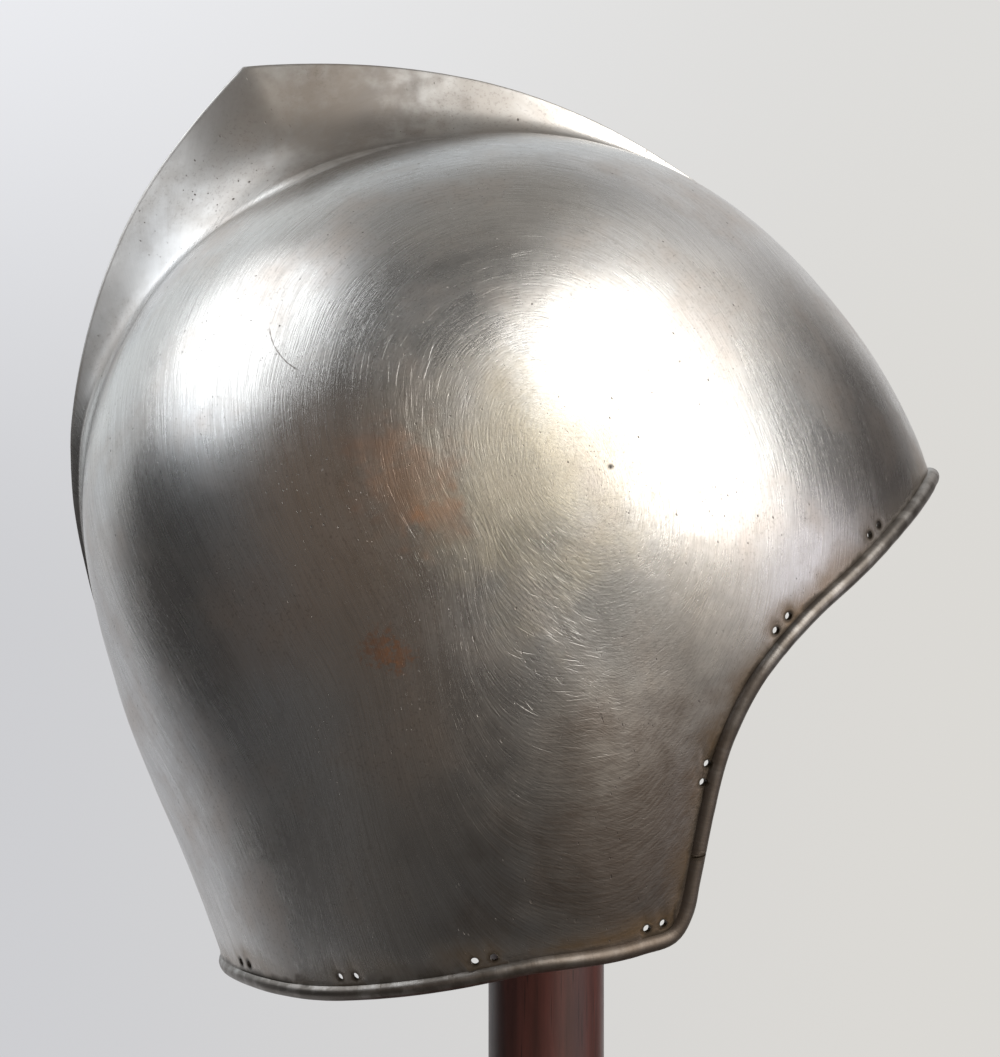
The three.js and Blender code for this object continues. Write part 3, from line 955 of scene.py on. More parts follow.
@dataclass
class Graph:
    """A node tree with short calls that add and join nodes."""

    tree: bpy.types.NodeTree

    def node(self, kind: str, inputs: dict[Any, Any] | None = None, **settings: Any) -> bpy.types.Node:
        """Adds a node.

        Args:
            kind: the node's type, without its ShaderNode prefix.
            inputs: a value or an output socket for each input, by name or number.
            settings: the node's own settings.

        Returns:
            The new node.
        """
        made = self.tree.nodes.new(kind if kind.startswith("Node") else "ShaderNode" + kind)
        for key, value in settings.items():
            setattr(made, key, value)
        for key, value in (inputs or {}).items():
            self.feed(made.inputs[key], value)
        return made

    def feed(self, socket: bpy.types.NodeSocket, value: Any) -> None:
        """Links an output to the socket, or sets its value.

        Args:
            socket: the input to set.
            value: an output socket, a number, a vector or a colour.
        """
        if isinstance(value, bpy.types.NodeSocket):
            self.tree.links.new(value, socket)
        elif socket.type == "RGBA" and len(value) == 3:
            socket.default_value = (*value, 1.0)
        else:
            socket.default_value = value

    def math(self, operation: str, a: Any, b: Any = 0.0, clamp: bool = False) -> Socket:
        """One step of arithmetic."""
        return self.node("Math", {0: a, 1: b}, operation=operation, use_clamp=clamp).outputs[0]

    def times(self, a: Any, b: Any, clamp: bool = False) -> Socket:
        """The product of a and b."""
        return self.math("MULTIPLY", a, b, clamp)

    def plus(self, a: Any, b: Any, clamp: bool = False) -> Socket:
        """The sum of a and b."""
        return self.math("ADD", a, b, clamp)

    def minus(self, a: Any, b: Any, clamp: bool = False) -> Socket:
        """What is left of a without b."""
        return self.math("SUBTRACT", a, b, clamp)

    def total(self, start: Any, *parts: tuple[Any, float]) -> Any:
        """The start with each mask added at its own share.

        Args:
            start: the value to begin with.
            parts: each mask with its share.

        Returns:
            The sum.
        """
        for mask, share in parts:
            start = self.plus(start, self.times(mask, share))
        return start

    def apart(self, a: Any, b: Any) -> Socket:
        """Distance between two places."""
        return self.node("VectorMath", {0: a, 1: b}, operation="DISTANCE").outputs["Value"]

    def mix(self, share: Any, a: Any, b: Any) -> Socket:
        """Mixes two colours, share 0 giving a.

        Args:
            share: how much of b there is.
            a: the first colour.
            b: the second colour.

        Returns:
            The mixed colour.
        """
        made = self.node("Mix", data_type="RGBA")
        for key, value in ((0, share), (6, a), (7, b)):
            self.feed(made.inputs[key], value)
        return made.outputs[2]

    def span(
        self, value: Any, low: float, high: float, start: float = 0.0, end: float = 1.0,
    ) -> Socket:
        """Eases from start to end while value goes from low to high.

        Args:
            value: what is read.
            low: where the change begins.
            high: where it ends.
            start: what comes out below low.
            end: what comes out above high.

        Returns:
            The eased value.
        """
        made = self.node(
            "MapRange", {0: value, 1: low, 2: high, 3: start, 4: end}, interpolation_type="SMOOTHSTEP",
        )
        return made.outputs[0]

    def noise(
        self, vector: Any, scale: float, detail: float = 2.0, roughness: float = 0.5, flat: bool = False,
    ) -> Socket:
        """Noise from 0 to 1.

        Args:
            vector: the place.
            scale: how fine it is.
            detail: how many finer noises are added to it.
            roughness: how much each of them counts.
            flat: whether it takes no notice of the vector's Z.

        Returns:
            The noise's value.
        """
        made = self.node(
            "TexNoise", {"Vector": vector, "Scale": scale, "Detail": detail, "Roughness": roughness},
            noise_dimensions="2D" if flat else "3D",
        )
        return made.outputs[0]

    def moved(self, vector: Any, shift: Place, turn: float = 0.0) -> Socket:
        """A vector turned about Z and moved."""
        facing = self.node("VectorRotate", {"Vector": vector, "Angle": turn}, rotation_type="Z_AXIS")
        return self.node("Mapping", {"Vector": facing.outputs[0], "Location": shift}).outputs[0]


@dataclass
class ShaderGroup:
    """A shader node group with named inputs and one named output, built once."""

    name: str
    inputs: tuple[tuple[str, str, Any], ...]
    output: str

    def start(self) -> tuple[Graph, bpy.types.Node, bpy.types.Node]:
        """Makes the empty group with its sockets.

        Returns:
            The group's graph, its input node and its output node.
        """
        self.tree = bpy.data.node_groups.new(self.name, "ShaderNodeTree")
        for label, kind, value in self.inputs:
            socket = self.tree.interface.new_socket(
                name=label, in_out="INPUT", socket_type="NodeSocket" + kind,
            )
            if kind != "Vector":
                socket.default_value = value
        self.tree.interface.new_socket(
            name=self.output, in_out="OUTPUT", socket_type="NodeSocketFloat",
        )
        graph = Graph(self.tree)
        return graph, graph.node("NodeGroupInput"), graph.node("NodeGroupOutput")

    def place(self, graph: Graph, **values: Any) -> bpy.types.Node:
        """Puts the group into a material with its own values.

        Args:
            graph: the material's graph.
            values: a value or an output for each input, by name.

        Returns:
            The group's node.
        """
        made = graph.tree.nodes.new("ShaderNodeGroup")
        made.node_tree = self.tree
        for key, value in values.items():
            graph.feed(made.inputs[key], value)
        return made


class ScratchGroup(ShaderGroup):
    """A family of thin scratches that run along Y of the given vector."""

    def __init__(self) -> None:
        """Builds the group."""
        super().__init__(
            "scratches",
            (("Vector", "Vector", None), ("Spacing", "Float", 1.0), ("Length", "Float", 1.0),
             ("Width", "Float", 0.04), ("Share", "Float", 0.5)),
            "Mask",
        )
        g, given, result = self.start()
        parts = g.node("SeparateXYZ", {0: given.outputs["Vector"]})
        x = g.math("DIVIDE", parts.outputs[0], given.outputs["Spacing"])
        y = g.math("DIVIDE", parts.outputs[1], given.outputs["Length"])
        place = g.node("CombineXYZ", {0: x, 1: y}).outputs[0]
        cells = g.node("TexVoronoi", {"Vector": place, "Scale": 1.0}, voronoi_dimensions="2D")
        off = g.math("DIVIDE", cells.outputs["Distance"], given.outputs["Width"])
        line = g.span(off, 0.3, 1.0, 1.0, 0.0)
        drawn = g.node("SeparateColor", {0: cells.outputs["Color"]})
        kept = g.math("LESS_THAN", drawn.outputs[0], given.outputs["Share"])
        faint = g.plus(0.35, g.times(drawn.outputs[1], 0.65))
        g.feed(result.inputs["Mask"], g.times(g.times(line, kept), faint))


class BrushGroup(ShaderGroup):
    """The fine satin of hand polishing: streaks that run round the middle of the strokes."""

    def __init__(self) -> None:
        """Builds the group."""
        super().__init__(
            "hand_polish",
            (("Reach", "Float", 0.0), ("Turn", "Float", 0.0), ("Fineness", "Float", 400.0),
             ("Stretch", "Float", 5.0)),
            "Streak",
        )
        g, given, result = self.start()
        x = g.times(given.outputs["Reach"], given.outputs["Fineness"])
        y = g.times(g.math("COSINE", given.outputs["Turn"]), given.outputs["Stretch"])
        z = g.times(g.math("SINE", given.outputs["Turn"]), given.outputs["Stretch"])
        streak = g.noise(g.node("CombineXYZ", {0: x, 1: y, 2: z}).outputs[0], 1.0, 2.0, 0.6)
        g.feed(result.inputs["Streak"], streak)


class PitGroup(ShaderGroup):
    """Small round pits where a broad noise lets them gather."""

    def __init__(self) -> None:
        """Builds the group."""
        super().__init__(
            "pits",
            (("Vector", "Vector", None), ("Spacing", "Float", 1.0), ("Size", "Float", 0.2),
             ("Share", "Float", 0.3)),
            "Mask",
        )
        g, given, result = self.start()
        place = g.node("VectorMath", {0: given.outputs["Vector"]}, operation="SCALE")
        g.feed(place.inputs["Scale"], g.math("DIVIDE", 1.0, given.outputs["Spacing"]))
        cells = g.node("TexVoronoi", {"Vector": place.outputs[0], "Scale": 1.0}, voronoi_dimensions="2D")
        drawn = g.node("SeparateColor", {0: cells.outputs["Color"]})
        size = g.times(given.outputs["Size"], g.plus(0.35, drawn.outputs[1]))
        spot = g.span(g.math("DIVIDE", cells.outputs["Distance"], size), 0.45, 1.0, 1.0, 0.0)
        kept = g.math("LESS_THAN", drawn.outputs[0], given.outputs["Share"])
        g.feed(result.inputs["Mask"], g.times(spot, kept))


class StainGroup(ShaderGroup):
    """One ragged stain: a soft ball round a place, broken up by the noise it is given."""

    def __init__(self) -> None:
        """Builds the group."""
        super().__init__(
            "stain",
            (("Vector", "Vector", None), ("Place", "Vector", None), ("Reach", "Float", 0.01),
             ("Rag", "Float", 0.5), ("Ragged", "Float", 0.6)),
            "Mask",
        )
        g, given, result = self.start()
        apart = g.apart(given.outputs["Vector"], given.outputs["Place"])
        share = g.math("DIVIDE", apart, given.outputs["Reach"])
        rag = g.times(g.minus(given.outputs["Rag"], 0.5), 2.0)
        rough = g.times(rag, given.outputs["Ragged"])
        g.feed(result.inputs["Mask"], g.span(g.plus(share, rough), 0.2, 1.1, 1.0, 0.0))


# ---- Finishes ------------------------------------------------------------------------------------


def new_material(name: str) -> tuple[bpy.types.Material, Graph]:
    """Makes an empty material and the graph of its nodes.

    Args:
        name: the material's name.

    Returns:
        The material and its graph.
    """
    material = bpy.data.materials.new(name)
    material.use_nodes = True
    material.node_tree.nodes.clear()
    return material, Graph(material.node_tree)


class Grain(Enum):
    """How fine the noise is that breaks up a stain: its scale per metre."""

    BROAD = 60.0
    MIDDLE = 170.0
    FINE = 650.0


@dataclass(frozen=True)
class Stain:
    """A coloured stain on the steel: its place and reach in millimetres, in the CAD frame."""

    place: Place
    reach: float
    colour: Colour
    strength: float
    grain: Grain = Grain.BROAD
    ragged: float = 0.7
    dull: float = 0.1


@dataclass(frozen=True)
class Scar:
    """One dark curved scratch: its middle and the middle it curves round, in the CAD frame."""

    middle: Place
    round: Place
    width: float
    reach: float


def flank_place(skull: Skull, x: float, z: float, side: Side) -> Place:
    """Place in the CAD frame of a point of the flank, from its side-view offsets in millimetres.

    Args:
        skull: the form that the point lies on.
        x: how far ahead of the skull's centre it is seen.
        z: how far above it.
        side: which flank.

    Returns:
        The point, in millimetres.
    """
    phi = np.array([math.atan2(z, x)])
    outline = skull.outline(phi)
    share = np.minimum(0.995, np.array([math.hypot(x, z)]) / outline)
    y = float(skull.flank(outline, share, phi)[0]) * side.value
    return (x + skull.centre[0], y, z + skull.centre[2])


@dataclass(frozen=True)
class WornSteel:
    """Old raised steel, polished by hand: satin, finely scratched, lightly pitted and stained."""

    steel: Colour = (0.60, 0.585, 0.57)
    dark: Colour = (0.33, 0.315, 0.30)
    warm: Colour = (0.46, 0.36, 0.29)
    blue: Colour = (0.50, 0.52, 0.55)
    pit: Colour = (0.10, 0.085, 0.075)
    # near-black colour of grime and painted shade in the crease at the edge's foot and in the lining holes
    grime_and_shade_colour: Colour = (0.026, 0.018, 0.010)
    patina: Colour = (0.17, 0.108, 0.052)
    edging: Colour = (0.14, 0.132, 0.124)
    scale: Colour = (0.16, 0.13, 0.11)
    roughness: float = 0.262
    bump_depth: float = 0.0006
    scratch: Colour = (0.74, 0.73, 0.71)
    stroke_middle: tuple[float, float] = (0.288, 1.467)  # flat place that the strokes ran round

    def stains(self, skull: Skull) -> tuple[Stain, ...]:
        """The single stains, most of them on the right flank.

        Args:
            skull: the form that the stains are placed on.

        Returns:
            The stains, in the order that they are laid.
        """
        right, left = Side.RIGHT, Side.LEFT
        copper, rust, slate = (0.46, 0.30, 0.21), (0.50, 0.25, 0.13), (0.27, 0.265, 0.265)
        brown, umber = (0.30, 0.26, 0.225), (0.155, 0.128, 0.11)
        straw, soot = (0.57, 0.51, 0.39), (0.05, 0.045, 0.04)
        flanks: tuple[tuple[Any, ...], ...] = (
            (2, 14, right, 46, straw, 0.62),
            (-25, 13, right, 18, copper, 0.72, Grain.MIDDLE, 0.9),
            (-34, 22, right, 12, copper, 0.4, Grain.MIDDLE, 1.1),
            (-17, 2, right, 10, copper, 0.55, Grain.MIDDLE, 1.2),
            (-32.7, -32.6, right, 6.0, rust, 0.6, Grain.FINE, 1.6),
            (-27.5, -34.5, right, 5.0, rust, 0.6, Grain.FINE, 1.7),
            (-22, 4, right, 3.0, rust, 0.5, Grain.FINE, 1.1),
            (-16, 28, right, 22, slate, 0.3),
            (-68, -27, right, 24, copper, 0.2),
            (30, 16.8, right, 1.1, soot, 0.9, Grain.FINE, 0.3),
            (40, -29, right, 30, slate, 0.4, Grain.MIDDLE, 1.0),
            (40, -90, right, 66, umber, 0.88, Grain.BROAD, 0.5),
            (40, -90, left, 62, umber, 0.5, Grain.BROAD, 0.5),
            (20, 20, left, 30, copper, 0.3),
            (-50, -20, left, 12, rust, 0.35, Grain.MIDDLE),
            (-10, -60, left, 34, slate, 0.35),
        )
        return (
            *(Stain(flank_place(skull, x, z, side), *rest) for x, z, side, *rest in flanks),
            Stain((-58, -6, 352), 34, umber, 0.6, Grain.MIDDLE, 0.8),
            Stain((-70, 6, 350), 34, brown, 0.6),
        )

    def scars(self, skull: Skull) -> tuple[Scar, ...]:
        """The few deep curved scratches.

        Args:
            skull: the form that the scratches are placed on.

        Returns:
            The scratches.
        """
        right = Side.RIGHT
        return (
            Scar(
                flank_place(skull, -61.4, 48.8, right), flank_place(skull, -43.8, 61.5, right),
                width=0.28, reach=10.0,
            ),
        )

    def build(self, skull: Skull, groups: "Groups") -> bpy.types.Material:
        """Builds the material.

        Args:
            skull: the form that the stains are placed on.
            groups: the shared shader groups.

        Returns:
            The steel's material.
        """
        material, g = new_material("worn_steel")
        place = g.node("TexCoord").outputs["Object"]
        spread = g.node("UVMap", uv_map="spread").outputs[0]
        marks = ("rim", "hole", "inside", "edging", "wall")
        near = {name: g.node("Attribute", attribute_name=name).outputs["Fac"] for name in marks}
        open_wall = g.minus(1.0, g.times(near["wall"], 0.85))
        cloud = g.noise(place, 16.0, 4.0, 0.55)
        drift = g.noise(g.moved(place, (3.1, 0.7, 1.9)), 38.0, 5.0, 0.6)
        speck = g.noise(place, 420.0, 3.0, 0.6)
        reach, turn = self.strokes(g, spread)
        polish = groups.brush.place(g, Reach=reach, Turn=turn, Fineness=270.0, Stretch=7.0)
        tilted = g.plus(reach, g.times(turn, 0.12))
        cross = groups.brush.place(g, Reach=tilted, Turn=turn, Fineness=480.0, Stretch=15.0)
        smear = groups.brush.place(g, Reach=reach, Turn=turn, Fineness=26.0, Stretch=2.2)
        smear = g.times(g.minus(smear.outputs[0], 0.5), open_wall)
        streaks = g.plus(g.times(polish.outputs[0], 0.6), g.times(cross.outputs[0], 0.4))
        streaks = g.plus(0.5, g.times(g.minus(streaks, 0.5), open_wall))
        scratch = g.times(self.scratches(g, groups, spread, reach, turn), open_wall)
        pits = self.pits(g, groups, spread, drift)

        colour = g.mix(g.span(cloud, 0.35, 0.7, 0.0, 0.55), self.steel, self.blue)
        colour = g.mix(g.span(drift, 0.45, 0.75, 0.0, 0.4), colour, self.warm)
        colour = g.mix(g.span(g.noise(place, 70.0, 6.0, 0.7), 0.52, 0.8, 0.0, 0.45), colour, self.dark)
        colour = g.mix(g.span(streaks, 0.44, 0.62, 0.0, 0.42), colour, self.dark)
        colour = g.mix(g.times(near["wall"], g.span(drift, 0.36, 0.64, 0.15, 0.6)), colour, self.dark)
        dull: Any = g.times(g.span(drift, 0.4, 0.7), 0.07)
        rags = {grain: g.noise(place, grain.value, 4.0, 0.55) for grain in Grain}
        worn = g.span(rags[Grain.MIDDLE], 0.4, 0.62, 0.95, 0.55)
        colour = g.mix(g.times(near["edging"], worn), colour, self.edging)
        along = g.plus(0.55, g.times(streaks, 0.9))
        for stain in self.stains(skull):
            mask = groups.stain.place(
                g, Vector=place, Place=[c * MM for c in stain.place], Reach=stain.reach * MM,
                Rag=rags[stain.grain], Ragged=stain.ragged,
            ).outputs[0]
            mask = g.times(g.times(mask, stain.strength), along, clamp=True)
            colour = g.mix(mask, colour, stain.colour)
            dull = g.plus(dull, g.times(mask, stain.dull))
        for scar in self.scars(skull):
            colour = g.mix(self.cut(g, scar, place, rags[Grain.FINE]), colour, self.pit)
        patina = self.tarnish(g, near, rags[Grain.BROAD], cloud)
        colour = g.mix(g.times(patina, 0.88), colour, self.patina)
        dust = g.span(g.noise(place, 1100.0, 2.0, 0.7), 0.54, 0.68)
        dust = g.times(dust, g.span(drift, 0.42, 0.6, 0.05, 0.6))
        colour = g.mix(g.times(dust, 0.42), colour, self.pit)
        colour = g.mix(g.times(pits, 0.85), colour, self.pit)
        colour = g.mix(g.times(scratch, 0.3), colour, self.scratch)
        crease_grime_and_shade = self.crease_grime_and_shade(g, near, rags[Grain.MIDDLE])
        # near-black grime and painted shade in the crease at the foot of the turned edge and in the lining
        # holes
        colour = g.mix(crease_grime_and_shade, colour, self.grime_and_shade_colour)
        colour = g.mix(g.times(near["inside"], g.span(drift, 0.2, 0.7, 0.55, 0.9)), colour, self.scale)

        rough = g.total(
            g.plus(self.roughness, dull), (g.minus(streaks, 0.5), 0.17), (g.minus(cloud, 0.5), 0.08),
            (smear, 0.09), (pits, 0.25), (crease_grime_and_shade, 0.08), (g.plus(near["wall"], near["edging"]), 0.09),
        )
        rough = g.plus(rough, g.times(near["inside"], 0.22), clamp=True)
        crust = g.math("MAXIMUM", crease_grime_and_shade, g.times(patina, 0.35))
        metal = g.minus(1.0, g.times(crust, 0.7))

        height = g.times(g.times(g.minus(streaks, 0.5), open_wall), 0.12)
        height = g.total(
            height, (scratch, -0.046), (smear, 0.018), (pits, -0.08), (speck, 0.03),
            (g.noise(place, 95.0, 2.0), 0.06),
        )
        height = g.plus(height, g.times(crease_grime_and_shade, g.times(speck, 0.3)))
        bump = g.node("Bump", {"Strength": 1.0, "Distance": self.bump_depth, "Height": height})
        shader = g.node(
            "BsdfPrincipled",
            {"Base Color": colour, "Roughness": rough, "Metallic": metal, "Normal": bump.outputs[0]},
        )
        g.node("OutputMaterial", {"Surface": shader.outputs[0]})
        return material

    def strokes(self, g: Graph, spread: Any) -> tuple[Socket, Socket]:
        """Places of the skin for the polishing strokes, which ran in arcs on each flank.

        Args:
            g: the material's graph.
            spread: the flat places.

        Returns:
            How far out from the middle of the strokes, and the turn round it.
        """
        parts = g.node("SeparateXYZ", {0: spread})
        ahead = g.minus(parts.outputs[0], self.stroke_middle[0])
        out = g.minus(g.math("ABSOLUTE", parts.outputs[1]), self.stroke_middle[1])
        square = g.plus(g.times(ahead, ahead), g.times(out, out))
        bow = g.times(g.minus(g.noise(spread, 2.2, 1.0, flat=True), 0.5), 0.05)
        turn = g.math("ARCTAN2", g.times(out, -1.0), g.times(ahead, -1.0))
        return g.plus(g.math("SQRT", square), bow), turn

    def scratches(self, g: Graph, groups: "Groups", spread: Any, reach: Any, turn: Any) -> Socket:
        """The single scratches: most of them along the strokes or a little across them, in drifts.

        Args:
            g: the material's graph.
            groups: the shared shader groups.
            spread: the flat places.
            reach: how far out from the middle of the strokes.
            turn: the turn round it.

        Returns:
            A mask, 1 in a scratch.
        """
        drifts = (
            g.span(g.noise(spread, 3.0, 2.0, flat=True), 0.36, 0.6),
            g.span(g.noise(g.moved(spread, (4.1, 2.7, 0)), 4.2, 2.0, flat=True), 0.4, 0.62),
        )
        close = g.span(reach, 0.25, 0.8, 1.0, 0.2)
        total: Any = 0.0
        families = (
            (0.0, 0.0066, 0.85, 0.125, 0.62, 0.0),
            (0.05, 0.0058, 0.60, 0.140, 0.60, 3.7),
            (-0.07, 0.0080, 0.75, 0.100, 0.50, 1.3),
            (0.22, 0.0150, 0.60, 0.050, 0.22, 7.9),
        )
        for i, (tilt, spacing, length, width, share, shift) in enumerate(families):
            x = g.plus(g.plus(reach, shift), g.times(turn, tilt))
            family = groups.scratch.place(
                g, Vector=g.node("CombineXYZ", {0: x, 1: g.plus(turn, shift)}).outputs[0],
                Spacing=spacing, Length=length, Width=width, Share=share,
            ).outputs[0]
            family = g.times(g.times(family, drifts[i % 2]), close)
            total = g.math("MAXIMUM", total, family)
        level = groups.scratch.place(
            g, Vector=g.moved(spread, (7.9, 2.3, 0.0), 1.5), Spacing=0.022, Length=0.24,
            Width=0.035, Share=0.2,
        ).outputs[0]
        return g.math("MAXIMUM", total, g.times(level, drifts[1]))

    def pits(self, g: Graph, groups: "Groups", spread: Any, drift: Any) -> Socket:
        """Small pits and a few larger ones, gathered in patches.

        Args:
            g: the material's graph.
            groups: the shared shader groups.
            spread: the flat places.
            drift: the noise that the larger pits gather by.

        Returns:
            A mask, 1 in a pit.
        """
        fine = groups.pit.place(g, Vector=spread, Spacing=0.012, Size=0.15, Share=0.12).outputs[0]
        large = groups.pit.place(
            g, Vector=g.moved(spread, (0.31, 0.77, 0), 0.5), Spacing=0.045, Size=0.07, Share=0.2,
        ).outputs[0]
        patch = g.span(g.noise(spread, 4.2, 3.0, flat=True), 0.48, 0.66)
        return g.math("MAXIMUM", g.times(fine, patch), g.times(large, g.span(drift, 0.4, 0.6)))

    def cut(self, g: Graph, scar: Scar, place: Any, rag: Any) -> Socket:
        """The dark line of one scar.

        Args:
            g: the material's graph.
            scar: the scratch.
            place: places in the CAD frame, in metres.
            rag: the noise that breaks up its line.

        Returns:
            A mask, highest along the line.
        """
        away = math.dist(scar.middle, scar.round) * MM
        off = g.math("ABSOLUTE", g.minus(g.apart(place, [c * MM for c in scar.round]), away))
        off = g.plus(off, g.times(g.minus(rag, 0.5), 0.7 * MM))
        line = g.span(off, 0.4 * scar.width * MM, scar.width * MM, 0.75, 0.0)
        along = g.apart(place, [c * MM for c in scar.middle])
        return g.times(line, g.span(along, 0.7 * scar.reach * MM, scar.reach * MM, 1.0, 0.0))

    def tarnish(self, g: Graph, near: dict[str, Any], rag: Any, cloud: Any) -> Socket:
        """The brown patina along the turned edge and round the lining holes, in patches.

        Args:
            g: the material's graph.
            near: the mesh's own values, by name.
            rag: the noise that breaks up its border.
            cloud: the noise that it gathers by.

        Returns:
            A mask of the patina.
        """
        broken = g.times(g.minus(rag, 0.5), 16.0)
        edge = g.span(g.plus(near["rim"], broken), -0.5, 10.0, 1.0, 0.0)
        hole = g.span(g.plus(near["hole"], g.times(broken, 0.4)), 1.0, 8.0, 1.0, 0.0)
        patch = g.span(cloud, 0.4, 0.62, 0.4, 1.0)
        plate = g.minus(1.0, g.times(near["edging"], 0.8))
        return g.times(g.times(g.math("MAXIMUM", edge, hole), patch), plate)

    def crease_grime_and_shade(self, g: Graph, near: dict[str, Any], rag: Any) -> Socket:
        """Dark grime and painted shade in the crease at the foot of the turned edge and in the lining holes.

        Args:
            g: the material's graph.
            near: the mesh's own values, by name.
            rag: the noise that breaks up its border.

        Returns:
            A mask of the grime and painted shade.
        """
        broken = g.times(g.minus(rag, 0.5), 4.0)
        plate = g.minus(1.0, g.span(near["edging"], 0.55, 1.0), clamp=True)
        gap = g.span(g.plus(near["rim"], broken), 0.0, 1.9, 0.85, 0.0)
        seam = g.span(near["rim"], 0.1, 0.9, 0.8, 0.0)
        rim = g.times(g.math("MAXIMUM", gap, seam), plate)
        hole = g.span(g.plus(near["hole"], g.times(broken, 0.3)), 1.15, 2.5, 0.9, 0.0)
        return g.math("MAXIMUM", rim, hole, clamp=True)


@dataclass(frozen=True)
class PolishedMahogany:
    """Dark red-brown polished wood with its grain along one axis."""

    name: str
    along: tuple[float, float, float]
    light: Colour = (0.125, 0.034, 0.026)
    dark: Colour = (0.045, 0.015, 0.012)
    pore: Colour = (0.010, 0.004, 0.003)
    roughness: float = 0.42

    def build(self) -> bpy.types.Material:
        """Builds the material.

        Returns:
            The wood's material.
        """
        material, g = new_material(self.name)
        place = g.node("TexCoord").outputs["Object"]
        long = [0.09 if a else 1.0 for a in self.along]
        figure = g.node("Mapping", {"Vector": place, "Scale": long, "Location": (0.31, 0.17, 0.05)})
        figure = figure.outputs[0]
        bands = g.noise(figure, 120.0, 4.0, 0.6)
        broad = g.noise(figure, 30.0, 2.0, 0.5)
        fine = [0.02 if a else 1.0 for a in self.along]
        grain = g.node("Mapping", {"Vector": place, "Scale": fine}).outputs[0]
        fibre = g.noise(grain, 900.0, 3.0, 0.6)
        pores = g.span(g.noise(grain, 1500.0, 1.0), 0.66, 0.74)
        colour = g.mix(g.span(bands, 0.3, 0.7), self.dark, self.light)
        colour = g.mix(g.span(broad, 0.35, 0.7, 0.0, 0.5), colour, self.dark)
        colour = g.mix(g.span(fibre, 0.4, 0.7, 0.0, 0.35), colour, self.dark)
        colour = g.mix(g.times(pores, 0.7), colour, self.pore)
        smudge = g.noise(place, 60.0, 4.0, 0.6)
        rough = g.plus(self.roughness, g.span(smudge, 0.3, 0.75, -0.02, 0.06))
        height = g.minus(g.times(fibre, 0.3), g.times(pores, 0.6))
        bump = g.node("Bump", {"Strength": 0.5, "Distance": 0.0001, "Height": height})
        shader = g.node(
            "BsdfPrincipled",
            {"Base Color": colour, "Roughness": rough, "Normal": bump.outputs[0], "Coat Weight": 0.1,
             "Coat Roughness": 0.3, "Specular IOR Level": 0.5},
        )
        g.node("OutputMaterial", {"Surface": shader.outputs[0]})
        return material


class Groups:
    """The shader groups that the steel shares out."""

    def __init__(self) -> None:
        """Builds each group once."""
        self.scratch = ScratchGroup()
        self.brush = BrushGroup()
        self.pit = PitGroup()
        self.stain = StainGroup()


# ---- Studio --------------------------------------------------------------------------------------


def bearing(azimuth: float, elevation: float) -> Vector:
    """Direction from the helmet: azimuth 0 towards the camera, 90 ahead of the helmet, in degrees."""
    a, e = math.radians(azimuth), math.radians(elevation)
    return Vector((math.sin(a) * math.cos(e), -math.cos(a) * math.cos(e), math.sin(e)))


@dataclass(frozen=True)
class Softbox:
    """A large elliptical studio light."""

    name: str
    azimuth: float
    elevation: float
    width: float
    height: float
    glow: float  # radiance
    colour: Colour
    distance: float = 1.8


@dataclass(frozen=True)
class Glow:
    """A soft patch of the room's light, by its bearing and its two angular radii in degrees."""

    azimuth: float
    elevation: float
    full: float
    gone: float
    colour: Colour


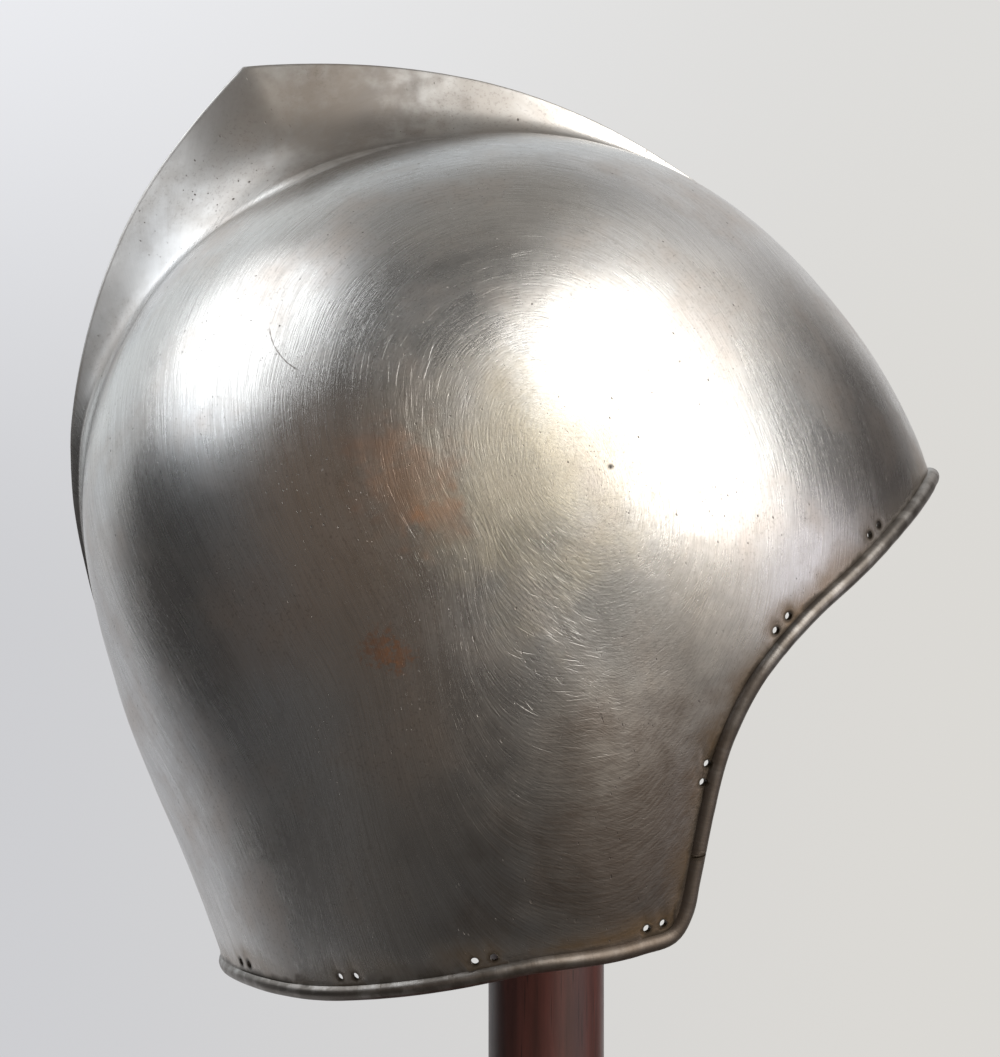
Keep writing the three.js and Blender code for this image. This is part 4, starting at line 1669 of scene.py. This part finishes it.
@dataclass
class Studio:
    """Floor, softboxes, room light and camera."""

    target: tuple[float, float, float] = (-0.014, 0.0, 0.228)
    camera_distance: float = 0.9
    view_height: float = 0.3203
    softboxes: tuple[Softbox, ...] = (
        Softbox("softbox_right", 34, 30, 1.85, 2.0, 3.4, (1.0, 0.97, 0.91)),
        Softbox("softbox_left", -80, 39, 1.42, 1.45, 2.2, (0.93, 0.97, 1.0)),
    )
    base: Colour = (0.14, 0.14, 0.14)
    glows: tuple[Glow, ...] = (
        Glow(180, 30, 55, 95, (0.84, 0.83, 0.82)),
        Glow(-152, 26, 22, 44, (0.92, 0.97, 0.99)),
        Glow(0, 90, 18, 45, (0.34, 0.325, 0.30)),
        Glow(-150, -18, 12, 30, (0.60, 0.60, 0.61)),
        Glow(0, -60, 35, 62, (0.10, 0.09, 0.08)),
        Glow(0, -22, 25, 50, (0.072, 0.067, 0.062)),
        Glow(-28, 14, 18, 36, (0.15, 0.112, 0.085)),
        Glow(-30, 52, 12, 32, (0.10, 0.098, 0.095)),
        Glow(-118, -36, 16, 36, (0.74, 0.74, 0.75)),
        Glow(-92, -8, 20, 34, (0.055, 0.052, 0.05)),
        Glow(116, 10, 18, 38, (0.09, 0.08, 0.075)),
        Glow(80, 56, 10, 26, (1.10, 1.06, 1.00)),
        Glow(42, 0, 14, 30, (0.80, 0.71, 0.60)),
        Glow(71, -3, 9, 22, (1.35, 1.28, 1.32)),
    )

    def build(self) -> None:
        """Sets up the whole studio."""
        self.lights()
        self.world()
        self.floor()
        self.camera()
        bpy.context.scene.view_settings.view_transform = "Standard"

    def lights(self) -> None:
        """Hangs the softboxes round the helmet."""
        target = Vector(self.target)
        for box in self.softboxes:
            lamp = bpy.data.lights.new(box.name, "AREA")
            lamp.shape = "ELLIPSE"
            lamp.size, lamp.size_y = box.width, box.height
            area = box.width * box.height * math.pi / 4
            lamp.energy = box.glow * area * math.pi
            lamp.color = box.colour
            there = new_object(box.name, lamp)
            there.location = target + bearing(box.azimuth, box.elevation) * box.distance
            there.rotation_euler = (there.location - target).to_track_quat("Z", "Y").to_euler()
            there.visible_camera = False

    def world(self) -> None:
        """Paints the room's light by direction, and a plain pale ground for the camera."""
        world = bpy.data.worlds.new("studio_room")
        bpy.context.scene.world = world
        world.use_nodes = True
        world.node_tree.nodes.clear()
        g = Graph(world.node_tree)
        toward = g.node("TexCoord").outputs["Generated"]

        def facing(direction: Vector) -> Socket:
            """Cosine between the ray and a direction."""
            cosine = g.node("VectorMath", {0: toward, 1: tuple(direction)}, operation="DOT_PRODUCT")
            return cosine.outputs["Value"]

        room: Any = (*self.base, 1.0)
        for glow in self.glows:
            mask = g.span(
                facing(bearing(glow.azimuth, glow.elevation)),
                math.cos(math.radians(glow.gone)), math.cos(math.radians(glow.full)),
            )
            room = g.mix(mask, room, (*glow.colour, 1.0))
        rising = g.span(facing(Vector((0, 0, 1))), -0.04, 0.24)
        across = g.span(facing(Vector((1, 0, 0))), -0.22, 0.16)
        low = g.mix(across, (0.61, 0.615, 0.64, 1), (0.71, 0.695, 0.665, 1))
        high = g.mix(across, (0.87, 0.88, 0.915, 1), (0.735, 0.73, 0.715, 1))
        ground = g.mix(rising, low, high)
        seen = g.node("LightPath").outputs["Is Camera Ray"]
        colour = g.mix(seen, room, ground)
        lit = g.node("Background", {"Color": colour, "Strength": 1.0})
        g.node("OutputWorld", {"Surface": lit.outputs[0]})

    def floor(self) -> None:
        """Lays a plain pale floor that fades into the room."""
        bm = bmesh.new()
        bmesh.ops.create_circle(
            bm, cap_ends=True, segments=96, radius=1.1,
            matrix=Matrix.Translation((self.target[0], 0, -0.0005)),
        )
        mesh = new_mesh("studio_floor", bm)
        floor = new_object("studio_floor", mesh)
        floor.visible_glossy = False
        material, g = new_material("pale_floor")
        place = g.node("TexCoord").outputs["Object"]
        apart = g.apart(place, (self.target[0], 0, 0))
        fade = g.span(apart, 0.2, 0.38)
        paper = g.noise(place, 40.0, 3.0)
        colour = g.mix(paper, (0.60, 0.60, 0.61, 1), (0.66, 0.66, 0.66, 1))
        matt = g.node("BsdfPrincipled", {"Base Color": colour, "Roughness": 0.85})
        clear = g.node("BsdfTransparent")
        surface = g.node("MixShader", {0: fade, 1: matt.outputs[0], 2: clear.outputs[0]})
        g.node("OutputMaterial", {"Surface": surface.outputs[0]})
        mesh.materials.append(material)

    def camera(self) -> None:
        """Places the camera square to the helmet's right-hand side."""
        data = bpy.data.cameras.new("camera")
        data.sensor_width = 36.0
        data.lens = data.sensor_width * self.camera_distance / self.view_height
        camera = new_object("camera", data)
        camera.location = Vector(self.target) - Vector((0, self.camera_distance, 0))
        camera.rotation_euler = (math.pi / 2, 0, 0)
        bpy.context.scene.camera = camera


# ---- Assembly ------------------------------------------------------------------------------------


def dress(piece: bpy.types.Object, material: bpy.types.Material, node: str) -> None:
    """Gives a finished piece its material and its place in the frame.

    Args:
        piece: the finished object.
        material: what it is made of.
        node: the CAD node that it stands for.
    """
    piece.data.materials.clear()
    piece.data.materials.append(material)
    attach(piece, "root")
    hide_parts(node)
    log.info("%s: %d faces", piece.name, len(piece.data.polygons))


def main() -> None:
    """Builds the studio, the helmet and the stand, in that order."""
    logging.basicConfig(level=logging.INFO, format="%(name)s: %(message)s")
    Studio().build()
    groups = Groups()
    helmet = HelmetPlate()
    dress(helmet.build(), WornSteel().build(helmet.skull, groups), "helmet")
    upright = PolishedMahogany("mahogany_upright", (0, 0, 1)).build()
    flat_sawn = PolishedMahogany("mahogany_flat_sawn", (1, 0, 0)).build()
    for turned in Stand().pieces():
        wood = upright if turned.node == "stand_post" else flat_sawn
        dress(turned.build(), wood, turned.node)


if __name__ == "__main__":
    main()
